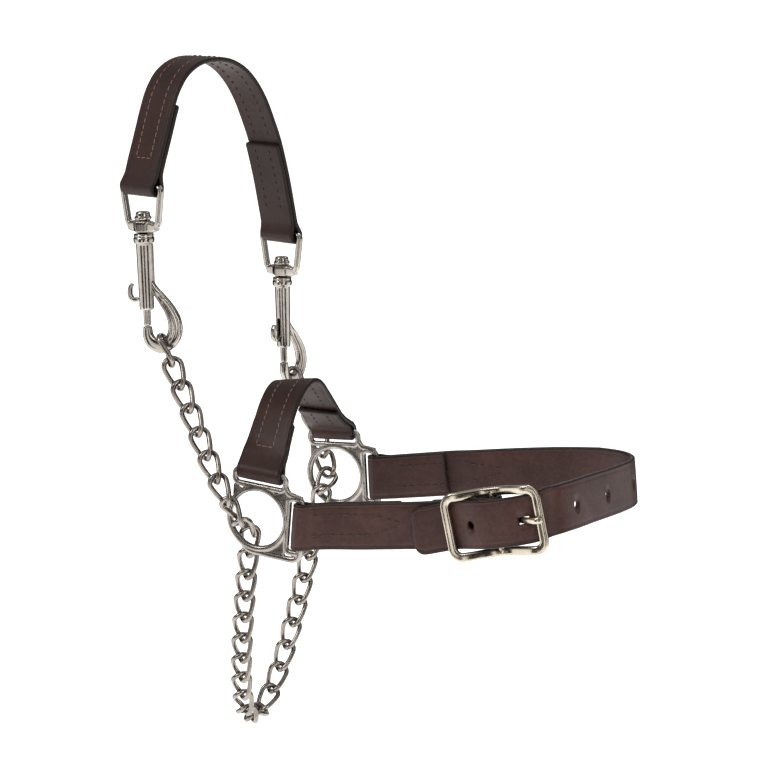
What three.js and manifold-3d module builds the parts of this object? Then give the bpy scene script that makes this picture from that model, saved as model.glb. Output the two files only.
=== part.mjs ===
// Leather headcollar with a running curb chain.
// Millimetres.  +X is forward (towards the muzzle), +Z is up, the near side is -Y and the far side +Y.
// The crown strap sits behind the ears, the noseband buckles on the near side, the jaw strap arches
// between the two cheek plates, and one chain runs from the near snap through both plates to the far snap.
import * as THREE from 'three';
import Module from 'manifold-3d';

const wasm = await Module();
wasm.setup();

// ---------------------------------------------------------------- driving dimensions
const STRAP_W = 25.4;            // every strap is cut one inch wide
const PLY = 2.6;                 // bridle leather thickness
const SLIT = 0.2;                // gap between the two plies of a folded strap
const FOLD_R = 3.7;              // middle of the ply around a 3.6 mm bar
const BUCKLE_FOLD_R = 3.4;       // middle of the ply around the buckle's centre bar

const PLATE_Y = 50.5;            // cheek plates stand at +-Y
const PLATE_T = 3.6;
const RING_R = 15.25;            // chain ring opening
const RING_OUT = 18.7;
const BAR_OFF = 26.0;            // ring centre to either strap bar
const NEAR_PITCH = -5;           // how each plate is turned about Y, degrees
const FAR_PITCH = 3;

const CROWN_YAW = 18.35;         // the crown's plane is turned from the Y axis, degrees
const CROWN_X = -51.2;

const LINK_P = 14.2;             // chain pitch
const WIRE_R = 1.42;
const LINK_GAP = 0.7;
const LINK_A = (LINK_P + 2 * WIRE_R + LINK_GAP) / 2;   // half length on the wire's centre
const CHIN_P = 13.7;                // chin loop pitch, its links hang a little slack
const LINK_B = 4.82;             // half width on the wire's centre

const LEATHER = { color: 0x3a2220, roughness: 0.55, metalness: 0 };
const NICKEL = { color: 0xb9b3a8, roughness: 0.25, metalness: 1 };
const BRASSY = { color: 0xc8b998, roughness: 0.22, metalness: 1 };
const CHAIN = { color: 0x9a958c, roughness: 0.3, metalness: 1 };

const root = new THREE.Group();
root.name = 'leather_headcollar';
const V = (x, y, z) => new THREE.Vector3(x, y, z);
const rad = THREE.MathUtils.degToRad;

// ---------------------------------------------------------------- helpers
function geometry(positions, index) {
  const g = new THREE.BufferGeometry();
  g.setAttribute('position', new THREE.Float32BufferAttribute(positions, 3));
  g.setIndex(index);
  return g;
}

function toManifold(geo) {
  let g = geo.clone();
  const pos = g.attributes.position;
  const map = new Map();
  const verts = [];
  const remap = [];
  for (let i = 0; i < pos.count; i++) {
    const k = [pos.getX(i), pos.getY(i), pos.getZ(i)].map(v => Math.round(v * 1e4)).join(',');
    if (!map.has(k)) {
      map.set(k, verts.length / 3);
      verts.push(pos.getX(i), pos.getY(i), pos.getZ(i));
    }
    remap.push(map.get(k));
  }
  const idx = g.index ? Array.from(g.index.array) : remap.map((_, i) => i);
  const tris = [];
  for (let i = 0; i < idx.length; i += 3) {
    const a = remap[idx[i]], b = remap[idx[i + 1]], c = remap[idx[i + 2]];
    if (a !== b && b !== c && a !== c) tris.push(a, b, c);
  }
  return new wasm.Manifold(new wasm.Mesh({
    numProp: 3, vertProperties: new Float32Array(verts), triVerts: new Uint32Array(tris),
  }));
}

function fromManifold(m) {
  const mesh = m.getMesh();
  return geometry(Array.from(mesh.vertProperties), Array.from(mesh.triVerts));
}

function unite(...geos) {
  return fromManifold(geos.map(toManifold).reduce((a, b) => a.add(b)));
}

function cut(geo, ...tools) {
  return fromManifold([geo, ...tools].map(toManifold).reduce((a, b) => a.subtract(b)));
}

function add(name, geo, look) {
  const mesh = new THREE.Mesh(geo, new THREE.MeshStandardMaterial(look));
  mesh.name = name;
  root.add(mesh);
  return mesh;
}

// A loft through rings of points; caps on both ends unless it closes on itself.
function loft(rings, closed) {
  const n = rings[0].length, m = rings.length;
  const pos = [];
  rings.forEach(r => r.forEach(p => pos.push(p.x, p.y, p.z)));
  const idx = [];
  const last = closed ? m : m - 1;
  for (let i = 0; i < last; i++) {
    const a = i * n, b = ((i + 1) % m) * n;
    for (let j = 0; j < n; j++) {
      const k = (j + 1) % n;
      idx.push(a + j, b + k, b + j, a + j, a + k, b + k);
    }
  }
  if (!closed) {
    for (let j = 1; j < n - 1; j++) {
      idx.push(0, j + 1, j);
      const e = (m - 1) * n;
      idx.push(e, e + j, e + j + 1);
    }
  }
  const g = geometry(pos, idx);
  let vol = 0;
  for (let i = 0; i < idx.length; i += 3) {
    const a = V(...pos.slice(3 * idx[i], 3 * idx[i] + 3));
    const b = V(...pos.slice(3 * idx[i + 1], 3 * idx[i + 1] + 3));
    const c = V(...pos.slice(3 * idx[i + 2], 3 * idx[i + 2] + 3));
    vol += a.dot(b.cross(c));
  }
  if (vol < 0) {
    for (let i = 0; i < idx.length; i += 3) [idx[i + 1], idx[i + 2]] = [idx[i + 2], idx[i + 1]];
    g.setIndex(idx);
  }
  return g;
}

// A bar swept along points.  side(i) is the section's first axis; hw and ht are half sizes.
function sweep(points, side, hw, ht, sides, closed) {
  const n = points.length;
  const rings = points.map((p, i) => {
    const a = points[closed ? (i + n - 1) % n : Math.max(0, i - 1)];
    const b = points[closed ? (i + 1) % n : Math.min(n - 1, i + 1)];
    const t = b.clone().sub(a).normalize();
    const s0 = side(i, p);
    const u = s0.clone().sub(t.clone().multiplyScalar(s0.dot(t))).normalize();
    const v = t.clone().cross(u).normalize();
    const w = typeof hw === 'function' ? hw(i) : hw;
    const h = typeof ht === 'function' ? ht(i) : ht;
    const ring = [];
    for (let j = 0; j < sides; j++) {
      const a2 = 2 * Math.PI * (j + 0.5) / sides;
      ring.push(p.clone().addScaledVector(u, w * Math.cos(a2)).addScaledVector(v, h * Math.sin(a2)));
    }
    return ring;
  });
  return loft(rings, closed);
}

// A planar curve with arc length, outward normals and straight extensions at both ends.
function planarCurve(ctrl, steps, outward) {
  const c = new THREE.CatmullRomCurve3(ctrl.map(p => V(p[0], p[1], 0)), false, 'centripetal');
  const pts = c.getSpacedPoints(steps);
  const len = [0];
  for (let i = 1; i < pts.length; i++) len.push(len[i - 1] + pts[i].distanceTo(pts[i - 1]));
  const total = len[len.length - 1];
  const dir = i => {
    const a = pts[Math.max(0, i - 1)], b = pts[Math.min(pts.length - 1, i + 1)];
    return b.clone().sub(a).normalize();
  };
  return {
    total,
    at(s, n = 0) {
      let p, t;
      if (s <= 0) { t = dir(0); p = pts[0].clone().addScaledVector(t, s); }
      else if (s >= total) { t = dir(pts.length - 1); p = pts[pts.length - 1].clone().addScaledVector(t, s - total); }
      else {
        let i = 1;
        while (len[i] < s) i++;
        const f = (s - len[i - 1]) / (len[i] - len[i - 1]);
        p = pts[i - 1].clone().lerp(pts[i], f);
        t = dir(i - 1).lerp(dir(i), f).normalize();
      }
      const o = V(outward * -t.y, outward * t.x, 0);
      return p.addScaledVector(o, n);
    },
    find(x, y) {
      let best = 0, d = 1e9;
      pts.forEach((p, i) => { const e = Math.hypot(p.x - x, p.y - y); if (e < d) { d = e; best = len[i]; } });
      return best;
    },
  };
}

// Middle line of a ply that turns round a bar at (s0, 0) and comes back: dir = -1 for a fold at the
// start of a strap, +1 at its end.  off is the ply's distance from the middle of the two plies.
function foldLine(s0, dir, r, off, inner) {
  const pts = [];
  const top = [[9, off], [7, off + 0.1], [4.3, off + (r - off) * 0.36]];
  const arc = [];
  for (let a = 60; a <= 300; a += 20) arc.push([r * Math.cos(rad(a)), r * Math.sin(rad(a))]);
  const bottom = top.slice().reverse().map(([s, n]) => [s, -n]);
  const all = [...top, ...arc, ...bottom, [inner, -off]];
  for (const [s, n] of all) pts.push([s0 - dir * s, n]);
  return dir > 0 ? pts : pts.reverse();
}

// Thin out a middle line between two stations with even steps.
function plain(s0, s1, n, step) {
  const k = Math.max(1, Math.ceil(Math.abs(s1 - s0) / step));
  const out = [];
  for (let i = 1; i < k; i++) out.push([s0 + (s1 - s0) * i / k, n]);
  return out;
}

// A leather ribbon: rectangular section, ply thickness, following a list of middle points in space.
function ribbon(mids, heights, halfWidth) {
  const n = mids.length;
  const rings = mids.map((p, i) => {
    const a = mids[Math.max(0, i - 1)], b = mids[Math.min(n - 1, i + 1)];
    const t = b.clone().sub(a).normalize();
    const h0 = heights(p);
    const nn = t.clone().cross(h0).normalize();
    const w = halfWidth(i);
    const h = h0;
    const q = PLY / 2;
    return [
      p.clone().addScaledVector(nn, q).addScaledVector(h, w),
      p.clone().addScaledVector(nn, q).addScaledVector(h, -w),
      p.clone().addScaledVector(nn, -q).addScaledVector(h, -w),
      p.clone().addScaledVector(nn, -q).addScaledVector(h, w),
    ];
  });
  return loft(rings, false);
}

function lerpTable(table, x) {
  if (x <= table[0][0]) return table[0][1];
  for (let i = 1; i < table.length; i++) {
    if (x <= table[i][0]) {
      const f = (x - table[i - 1][0]) / (table[i][0] - table[i - 1][0]);
      return table[i - 1][1] + f * (table[i][1] - table[i - 1][1]);
    }
  }
  return table[table.length - 1][1];
}

const HALF = STRAP_W / 2;
const OFF = (PLY + SLIT) / 2;

// ---------------------------------------------------------------- crown strap
const crownD = V(Math.sin(rad(CROWN_YAW)), Math.cos(rad(CROWN_YAW)), 0);   // along the chord, near to far
const crownW = V(Math.cos(rad(CROWN_YAW)), -Math.sin(rad(CROWN_YAW)), 0);  // across the strap, forward
const crownAt = (u, v, w = 0) => V(CROWN_X, 0, v).addScaledVector(crownD, u).addScaledVector(crownW, w);
const CROWN_NEAR = [-52, 176.3];     // bar in the near fold
const CROWN_FAR = [53.3, 140];       // bar in the far fold
const crownCurve = planarCurve([
  CROWN_NEAR, [-49.4, 186], [-45.6, 196.5], [-42, 206.4], [-38.3, 216.6], [-33.9, 226.2], [-27, 234.6],
  [-17, 239.8], [-6, 241], [5, 239.2], [14.5, 234.4], [22, 227.4], [28.7, 218], [34.4, 206.5],
  [39.4, 194.9], [43.1, 183.3], [46.3, 171.7], [49, 160], [51.3, 149.5], CROWN_FAR,
], 160, 1);
const CROWN_BACK_NEAR = 46;          // length of the turned back ply at the near end
const CROWN_BACK_FAR = 55;
{
  const T = crownCurve.total;
  const line = [
    ...plain(CROWN_BACK_NEAR, 9, -OFF, 7).map(p => p),
    ...foldLine(0, -1, FOLD_R, OFF, CROWN_BACK_NEAR).slice(1),
    ...plain(9, T - 9, OFF, 6),
    ...foldLine(T, 1, FOLD_R, OFF, CROWN_BACK_FAR).slice(0, -1),
    ...plain(T - 9, T - CROWN_BACK_FAR, -OFF, 7),
    [T - CROWN_BACK_FAR, -OFF],
  ];
  line.unshift([CROWN_BACK_NEAR, -OFF]);
  const mids = line.map(([s, n]) => { const p = crownCurve.at(s, n); return crownAt(p.x, p.y); });
  add('crown_strap', ribbon(mids, () => crownW.clone(), () => HALF), LEATHER);
}

// ---------------------------------------------------------------- cheek plates
function roundedPoly(pts, seg) {
  // pts: [x, z, radius]
  const out = [];
  const n = pts.length;
  pts.forEach(([x, z, r], i) => {
    const p = new THREE.Vector2(x, z);
    const a = new THREE.Vector2(pts[(i + n - 1) % n][0], pts[(i + n - 1) % n][1]).sub(p);
    const b = new THREE.Vector2(pts[(i + 1) % n][0], pts[(i + 1) % n][1]).sub(p);
    if (!r) { out.push(p); return; }
    const la = a.length(), lb = b.length();
    a.normalize(); b.normalize();
    const half = Math.acos(THREE.MathUtils.clamp(a.dot(b), -1, 1)) / 2;
    const d = Math.min(r / Math.tan(half), la * 0.49, lb * 0.49);
    const rr = d * Math.tan(half);
    const c = a.clone().add(b).normalize().multiplyScalar(rr / Math.sin(half)).add(p);
    const s = a.clone().multiplyScalar(d).add(p).sub(c);
    const e = b.clone().multiplyScalar(d).add(p).sub(c);
    let a0 = Math.atan2(s.y, s.x), a1 = Math.atan2(e.y, e.x);
    let da = a1 - a0;
    while (da > Math.PI) da -= 2 * Math.PI;
    while (da < -Math.PI) da += 2 * Math.PI;
    for (let k = 0; k <= seg; k++) {
      const t = a0 + da * k / seg;
      out.push(new THREE.Vector2(c.x + rr * Math.cos(t), c.y + rr * Math.sin(t)));
    }
  });
  return out;
}

const SLOT_HALF = 13.4;
function plateGeometry() {
  const outline = [];
  // ring part, from the lower left round to the foot of the upper left ear
  for (let a = 250; a >= 141; a -= 12) outline.push([RING_OUT * Math.cos(rad(a)), RING_OUT * Math.sin(rad(a)), 0]);
  outline.push([-15.8, 15.4, 2], [-16.9, 20, 3], [-16.9, 27.6, 2.6], [16.9, 27.6, 2.6], [16.9, 20.5, 2.5],
    [19.2, 17.2, 3], [28.0, 16.7, 2.6], [28.0, -20.0, 3.0], [24.5, -21.6, 2], [-5, -20.4, 3]);
  const shape = new THREE.Shape(roundedPoly(outline, 2).reverse());
  const hole = new THREE.Path();
  const N = 28;
  for (let i = 0; i <= N; i++) {
    const t = -2 * Math.PI * i / N;
    const p = [RING_R * Math.cos(t), RING_R * Math.sin(t)];
    if (i === 0) hole.moveTo(...p); else if (i < N) hole.lineTo(...p);
  }
  hole.closePath();
  shape.holes.push(hole);
  const slot = pts => { const h = new THREE.Path(roundedPoly(pts, 2)); h.closePath(); shape.holes.push(h); };
  const b = BAR_OFF - 1.8;
  slot([[-SLOT_HALF, 18.6, 1.4], [-SLOT_HALF, b, 0.9], [SLOT_HALF, b, 0.9], [SLOT_HALF, 18.6, 1.4]]);
  slot([[18.5, SLOT_HALF, 1.4], [b, SLOT_HALF, 0.9], [b, -SLOT_HALF, 0.9], [18.5, -SLOT_HALF, 1.4]]);
  const g = new THREE.ExtrudeGeometry(shape, {
    depth: PLATE_T - 1.2, bevelEnabled: true, bevelThickness: 0.6, bevelSize: 0.45, bevelOffset: -0.45,
    bevelSegments: 1, curveSegments: 1, steps: 1,
  });
  g.translate(0, 0, 0.6 - PLATE_T / 2);
  g.rotateX(Math.PI / 2);
  return g;
}
const plate = plateGeometry();
const nearPlate = add('near_cheek_plate', plate, NICKEL);
nearPlate.position.set(0, -PLATE_Y, 0);
nearPlate.rotation.y = rad(-NEAR_PITCH);
const farPlate = add('far_cheek_plate', plate.clone(), NICKEL);
farPlate.position.set(0, PLATE_Y, 0);
farPlate.rotation.y = rad(-FAR_PITCH);
const plateAt = (x, z, pitch, y) => {
  const c = Math.cos(rad(pitch)), s = Math.sin(rad(pitch));
  return V(x * c - z * s, y, x * s + z * c);
};

// ---------------------------------------------------------------- jaw strap
const jawN = plateAt(0, BAR_OFF, NEAR_PITCH, -PLATE_Y);
const jawF = plateAt(0, BAR_OFF, FAR_PITCH, PLATE_Y);
const JAW_BACK = 30;
const JAW_TWIST = [[0.08, 0], [0.14, 7], [0.25, 12], [0.5, 8.5], [0.68, 2], [0.82, -4], [0.92, 0]];   // front edge outward, degrees
{
  const curve = planarCurve([
    [-PLATE_Y, jawN.z], [-47.4, 31.4], [-42.6, 36.6], [-33.7, 47.6], [-25.1, 57], [-14.5, 63.8], [-5.4, 65.4],
    [3.4, 62.8], [14, 55], [31, 41.4], [38.5, 35.6], [44.4, 32.2], [48.4, 29.4], [PLATE_Y, jawF.z],
  ], 400, 1);
  const T = curve.total;
  const line = [
    [JAW_BACK, -OFF], ...plain(JAW_BACK, 9, -OFF, 6), ...foldLine(0, -1, FOLD_R, OFF, JAW_BACK).slice(1),
    ...plain(9, T - 9, OFF, 6), ...foldLine(T, 1, FOLD_R, OFF, JAW_BACK).slice(0, -1),
    ...plain(T - 9, T - JAW_BACK, -OFF, 6), [T - JAW_BACK, -OFF],
  ];
  const xAt = y => jawN.x + (jawF.x - jawN.x) * (y + PLATE_Y) / (2 * PLATE_Y);
  const mids = line.map(([s, n]) => { const p = curve.at(s, n); return V(xAt(p.x), p.x, p.y); });
  add('jaw_strap', ribbon(mids, p => {
    const f = THREE.MathUtils.clamp((p.y + PLATE_Y) / (2 * PLATE_Y), 0, 1);
    const a = rad(NEAR_PITCH + (FAR_PITCH - NEAR_PITCH) * f);
    const s = curve.find(p.y, p.z);
    const k = rad(lerpTable(JAW_TWIST, s / T));
    const n = curve.at(s, 1).sub(curve.at(s, 0));
    return V(Math.cos(a), 0, Math.sin(a)).multiplyScalar(Math.cos(k)).add(V(0, n.x, n.y).multiplyScalar(Math.sin(k))).normalize();
  }, () => HALF), LEATHER);
}

// ---------------------------------------------------------------- noseband surface
const nearZ = [[20, -1.6], [26, -1.6], [30, -1.3], [36, -0.2], [45, 1.2], [60, 3.0], [71, 4.5], [95, 7.8], [111, 10.3], [137, 15.5],
  [150, 18.2], [158, 20.0], [163, 22.0], [167, 23.7], [173, 25.1], [180, 25.6], [190, 25.4]];
const farZ = [[20, 1.1], [26, 1.4], [34, 2.0], [76, 9.0], [107, 13.6], [137, 18.0], [163, 21.3], [175, 21.8], [190, 22.2]];
const nearLean = [[26, 5], [45, 0], [70, -7], [111, -11], [137, -12.1], [163, -12], [175, -8], [190, -5]];
const farLean = [[26, -3], [60, -7.5], [107, -8.5], [163, -9], [190, -5]];
const noseMix = y => THREE.MathUtils.clamp((y + PLATE_Y) / (2 * PLATE_Y), 0, 1);
const noseZ = (x, y) => lerpTable(nearZ, x) * (1 - noseMix(y)) + lerpTable(farZ, x) * noseMix(y);
const noseH = p => {
  const a = rad(lerpTable(nearLean, p.x) * (1 - noseMix(p.y)) + lerpTable(farLean, p.x) * noseMix(p.y));
  return V(Math.sin(a), 0, Math.cos(a));
};
const noseAt = p => V(p.x, p.y, noseZ(p.x, p.y));

// ---------------------------------------------------------------- noseband buckle strap (near side)
const BUCKLE = V(139.2, -54.8, noseZ(139.2, -54.8) - 0.4);
const BUCKLE_TILT = 12.3;
const barNear = plateAt(BAR_OFF, 0, NEAR_PITCH, -PLATE_Y);
const barFar = plateAt(BAR_OFF, 0, FAR_PITCH, PLATE_Y);
const bS = V(Math.cos(rad(BUCKLE_TILT)), 0, Math.sin(rad(BUCKLE_TILT)));
const bH = V(-Math.sin(rad(BUCKLE_TILT)), 0, Math.cos(rad(BUCKLE_TILT)));
const bN = V(0, -1, 0);
const buckleAt = (s, n, h = 0) => BUCKLE.clone().addScaledVector(bS, s).addScaledVector(bN, n).addScaledVector(bH, h);
{
  const curve = planarCurve([[barNear.x, -PLATE_Y], [45, -50.8], [70, -51.2], [95, -51.5], [113, -51.8],
    [122, -52.65], [131, -54.35], [BUCKLE.x, BUCKLE.y]], 90, -1);
  const T = curve.total;
  const BACK_A = 60, BACK_B = 36;
  const line = [
    [BACK_A, -OFF], ...plain(BACK_A, 9, -OFF, 8), ...foldLine(0, -1, FOLD_R, OFF, BACK_A).slice(1),
    ...plain(9, T - 9, OFF, 7), ...foldLine(T, 1, BUCKLE_FOLD_R, OFF, BACK_B).slice(0, -1),
    ...plain(T - 9, T - BACK_B, -OFF, 7), [T - BACK_B, -OFF],
  ];
  const mids = line.map(([s, n]) => noseAt(curve.at(s, n)));
  const strap = ribbon(mids, noseH, () => HALF);
  const notch = new THREE.BoxGeometry(12, 16, 5.4);
  notch.rotateY(-rad(BUCKLE_TILT));
  const nc = buckleAt(0.8, 0, 0);
  notch.translate(nc.x, nc.y, nc.z);
  add('noseband_buckle_strap', cut(strap, notch), LEATHER);
}

// ---------------------------------------------------------------- noseband billet (far side, round the nose)
const billetCurve = planarCurve([
  [93, -55.8], [105, -56.0], [114, -56.15], [118, -56.55], [123.2, -58.05], [130.2, -60.3], [135.2, -61.2], [142.7, -61.2],
  [149, -60.2], [156, -58.1], [163, -55.4], [170, -50.6], [174.6, -42], [178.6, -28], [183, -12], [186.8, 4],
  [188.4, 16], [186.8, 27], [180, 36], [168, 42.2], [153, 46.2], [135, 48.6], [115, 50.2], [90, 50.6],
  [60, 50.5], [barFar.x, PLATE_Y],
], 320, -1);
// the billet's free end hangs a little below the strap that it lies on
const TIP_DROP = [[93, 2.8], [99, 2.4], [105, 1.5], [112, 0.5], [118, 0]];
const billetMid = p => noseAt(p).add(V(0, 0, p.y < -54 ? -lerpTable(TIP_DROP, p.x) : 0));
{
  // here the strap has two plies only beside the far plate
  const T = billetCurve.total;
  const BACK = 56;
  const s1 = T - BACK;
  // the long ply is the outer one
  const line = [
    ...plain(0, s1 - 6, 0, 5).map(([s]) => [s, 0]), [s1 - 6, 0.0],
    ...plain(s1 - 6, T - 9, 0, 7).map(([s]) => [s, OFF * THREE.MathUtils.smoothstep(s, s1 - 6, s1 + 10)]),
    ...foldLine(T, 1, FOLD_R, OFF, BACK - 12).slice(0, -1),
    ...plain(T - 9, T - BACK + 12, -OFF, 7), [T - BACK + 12, -OFF],
  ];
  line.unshift([3.2, 0]); line.unshift([0.9, 0]); line.unshift([0, 0]);
  const tip = { 0: 7.6, 1: 10.6, 2: 12.3 };
  const clean = line.filter(([s], i) => i < 3 || s > 4);
  const mids = clean.map(([s, n]) => billetMid(billetCurve.at(s, n)));
  const body = ribbon(mids, noseH, i => (i in tip ? tip[i] : HALF));
  const tools = [];
  const holeAt = s => {
    const p = billetMid(billetCurve.at(s, 0));
    const q = billetMid(billetCurve.at(s + 0.5, 0));
    const t = q.clone().sub(p).normalize();
    const h = noseH(p);
    const n = t.clone().cross(h).normalize();
    return { p, t, h: n.clone().cross(t).normalize(), n };
  };
  const s1h = billetCurve.find(155.6, -58.2);
  const centres = [s1h - 29, s1h + 29, s1h + 58, s1h + 87, s1h + 116];
  for (const s of centres) {
    const { p, n } = holeAt(s);
    const c = new THREE.CylinderGeometry(2.4, 2.4, 12, 10);
    c.applyQuaternion(new THREE.Quaternion().setFromUnitVectors(V(0, 1, 0), n));
    c.translate(p.x, p.y, p.z);
    tools.push(c);
  }
  const o = new THREE.BoxGeometry(8.8, 12, 4.8);
  o.rotateY(-rad(BUCKLE_TILT));
  const oc = buckleAt(15.3, 4.3, 0);
  o.translate(oc.x, oc.y, oc.z);
  tools.push(o);
  add('noseband_billet', cut(body, ...tools), LEATHER);
}

// ---------------------------------------------------------------- centre bar buckle
const DISH = 4.7, BK_L = 25.2, BK_H = 15.9;
{
  const pts = roundedPoly([[BK_L, BK_H, 5], [BK_L, -BK_H, 5], [-BK_L, -BK_H, 5], [-BK_L, BK_H, 5]], 4);
  const path = [];
  pts.forEach((p, i) => {
    path.push(p);
    const q = pts[(i + 1) % pts.length];
    const d = p.distanceTo(q);
    const k = Math.floor(d / 8);
    for (let j = 1; j < k; j++) path.push(p.clone().lerp(q, j / k));
  });
  const pos = path.map(p => buckleAt(p.x, DISH * THREE.MathUtils.smoothstep(Math.abs(p.x), 3, 21), p.y));
  const frame = sweep(pos, () => bN.clone(), 1.7, 2.3, 8, true);
  const bar = new THREE.CylinderGeometry(1.8, 1.8, 2 * BK_H, 12);
  bar.applyQuaternion(new THREE.Quaternion().setFromUnitVectors(V(0, 1, 0), bH));
  bar.translate(BUCKLE.x, BUCKLE.y, BUCKLE.z);
  add('buckle_frame', unite(frame, bar), BRASSY);

  const ringPts = [];
  for (let i = 0; i < 14; i++) {
    const a = 2 * Math.PI * i / 14;
    ringPts.push(buckleAt(3.2 * Math.cos(a), 3.2 * Math.sin(a)));
  }
  const ring = sweep(ringPts, () => bH.clone(), 2.0, 1.05, 8, true);
  const sh = [[3.1, 0], [7, 0.3], [11, 1.2], [14.5, 2.7], [17.5, 4.6], [20.3, 6.4], [23, 7.7], [25.4, 8.1], [27.6, 7.7]]
    .map(([s, n]) => buckleAt(s, n));
  const shaft = sweep(sh, () => bH.clone(), i => (i === 8 ? 1.1 : i === 0 ? 1.7 : 1.75), i => (i === 8 ? 0.8 : 1.15), 8, false);
  add('buckle_prong', unite(ring, shaft), BRASSY);
}

// ---------------------------------------------------------------- swivel bolt snaps
// Local frame: origin on the bow's top bar, z down the snap is negative, x across the bow.
const SNAP = { seat: -82.9 };
function snapParts(prefix, origin, tilt, hookAngle) {
  // the bow stands in the crown's fold, its bar along crownW
  const place = geo => {
    geo.rotateY(rad(tilt));
    geo.rotateZ(-rad(CROWN_YAW));
    geo.translate(origin.x, origin.y, origin.z);
    return geo;
  };
  const bowPts = roundedPoly([[-15.2, 0, 1.8], [15.2, 0, 1.8], [11.6, -21.2, 4], [-11.6, -21.2, 4]], 3);
  const bowPath = [];
  bowPts.forEach((p, i) => {
    bowPath.push(V(p.x, 0, p.y));
  });
  const wire = sweep(bowPath, () => V(0, 1, 0), 1.65, 1.65, 8, true);
  const boss = new THREE.LatheGeometry([[0, -24.4], [4.4, -24.4], [5.0, -23.6], [5.0, -18.8], [4.4, -18.0], [0, -18.0]]
    .map(p => new THREE.Vector2(...p)), 14);
  boss.rotateX(Math.PI / 2);
  const bore = new THREE.CylinderGeometry(2.5, 2.5, 12, 14);
  bore.rotateX(Math.PI / 2);
  bore.translate(0, 0, -21.2);
  add(prefix + '_snap_bow', place(cut(unite(wire, boss), bore)), NICKEL);

  const spin = geo => { geo.rotateZ(rad(hookAngle + CROWN_YAW)); return geo; };
  // stud, collar and barrel are one turned and cast body with the hook
  const prof = [[0, -66.6], [3.7, -66.6], [4.0, -65.6], [4.35, -40], [4.5, -30.4], [5.5, -29.6], [5.7, -28.4], [5.7, -26],
    [5.2, -25.0], [1.9, -25.0], [1.9, -17.6], [3.7, -17.6], [4.0, -16.6], [3.6, -14.6], [2.0, -13.4], [0, -13.1]];
  const barrel = new THREE.LatheGeometry(prof.map(p => new THREE.Vector2(...p)), 16);
  barrel.rotateX(Math.PI / 2);
  const hookPath = [[3.0, -53, 1.4], [5.4, -56.4, 2.0], [9.2, -61.4, 2.7], [13.0, -67.4, 3.4], [15.2, -73, 3.8], [15.3, -78.6, 4.0],
    [12.6, -84, 3.95], [7.2, -86.8, 3.9], [2.4, -85, 3.6], [0.3, -81.4, 3.1], [0, -78.6, 2.8], [0, -75.7, 2.5]];
  const hook = sweep(hookPath.map(p => V(p[0], 0, p[1])), () => V(0, 1, 0), i => (i < 2 ? 2.0 : i > 5 && i < 9 ? 1.8 : 2.6),
    i => hookPath[i][2], 8, false);
  const well = new THREE.CylinderGeometry(2.5, 2.5, 28, 12);
  well.rotateX(Math.PI / 2);
  well.translate(0, 0, -54);
  const slot = new THREE.BoxGeometry(6, 3.2, 13.6);
  slot.translate(-4.6, 0, -55.9);
  const body = cut(unite(cut(barrel, well, slot), hook), (() => { const c = new THREE.CylinderGeometry(2.5, 2.5, 28, 12); c.rotateX(Math.PI / 2); c.translate(0, 0, -54); return c; })());
  add(prefix + '_snap_body', place(spin(body)), NICKEL);

  const rod = new THREE.LatheGeometry([[0, -75.3], [1.6, -75.3], [2.0, -74.7], [2.0, -49.4], [0, -49.4]]
    .map(p => new THREE.Vector2(...p)), 12);
  rod.rotateX(Math.PI / 2);
  const lev = [[-1.2, -60.2], [-4.4, -60.6], [-7.0, -60.6], [-8.6, -58.8], [-8.7, -55.8], [-8.0, -53.2]];
  const lever = sweep(lev.map(p => V(p[0], 0, p[1])), () => V(0, 1, 0), i => (i > 1 ? 1.6 : 1.1), i => (i > 4 ? 1.0 : 1.25), 8, false);
  add(prefix + '_snap_bolt', place(spin(unite(rod, lever))), NICKEL);

  const at = (x, z) => {
    const p = V(x, 0, z).applyAxisAngle(V(0, 0, 1), rad(hookAngle + CROWN_YAW));
    p.applyAxisAngle(V(0, 1, 0), rad(tilt));
    p.applyAxisAngle(V(0, 0, 1), -rad(CROWN_YAW));
    return p.add(origin);
  };
  return at;
}
const nearSnap = snapParts('near', crownAt(...CROWN_NEAR), -1.5, 15);
const farSnap = snapParts('far', crownAt(...CROWN_FAR), -1.0, 76);

// ---------------------------------------------------------------- chain
// A link is an oval of round wire, twisted so that the run of chain lies flat.
const LINK_STEPS = 18, LINK_SIDES = 6;
function linkGeometry(a, b, from, to) {
  // from and to: ends on the chain line; a, b: twist angle at each end in degrees
  const mid = from.clone().add(to).multiplyScalar(0.5);
  const t = to.clone().sub(from).normalize();
  const X = V(1, 0, 0);
  const w0 = X.clone().addScaledVector(t, -X.dot(t)).normalize();
  const m0 = t.clone().cross(w0).normalize();
  const pts = [], refs = [];
  const straight = 2 * (LINK_A - LINK_B), arc = Math.PI * LINK_B, total = 2 * straight + 2 * arc;
  for (let i = 0; i < LINK_STEPS; i++) {
    let d = total * i / LINK_STEPS;
    let x, w;
    if (d < straight) { x = d - straight / 2; w = LINK_B; }
    else if (d < straight + arc) { const q = (d - straight) / LINK_B; x = straight / 2 + LINK_B * Math.sin(q); w = LINK_B * Math.cos(q); }
    else if (d < 2 * straight + arc) { x = straight / 2 - (d - straight - arc); w = -LINK_B; }
    else { const q = (d - 2 * straight - arc) / LINK_B; x = -straight / 2 - LINK_B * Math.sin(q); w = -LINK_B * Math.cos(q); }
    const tau = rad(a + (b - a) * (x + LINK_A) / (2 * LINK_A));
    pts.push(mid.clone().addScaledVector(t, x).addScaledVector(w0, w * Math.cos(tau)).addScaledVector(m0, w * Math.sin(tau)));
    refs.push(w0.clone().multiplyScalar(-Math.sin(tau)).addScaledVector(m0, Math.cos(tau)));
  }
  return sweep(pts, i => refs[i], WIRE_R, WIRE_R, LINK_SIDES, true);
}

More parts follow.
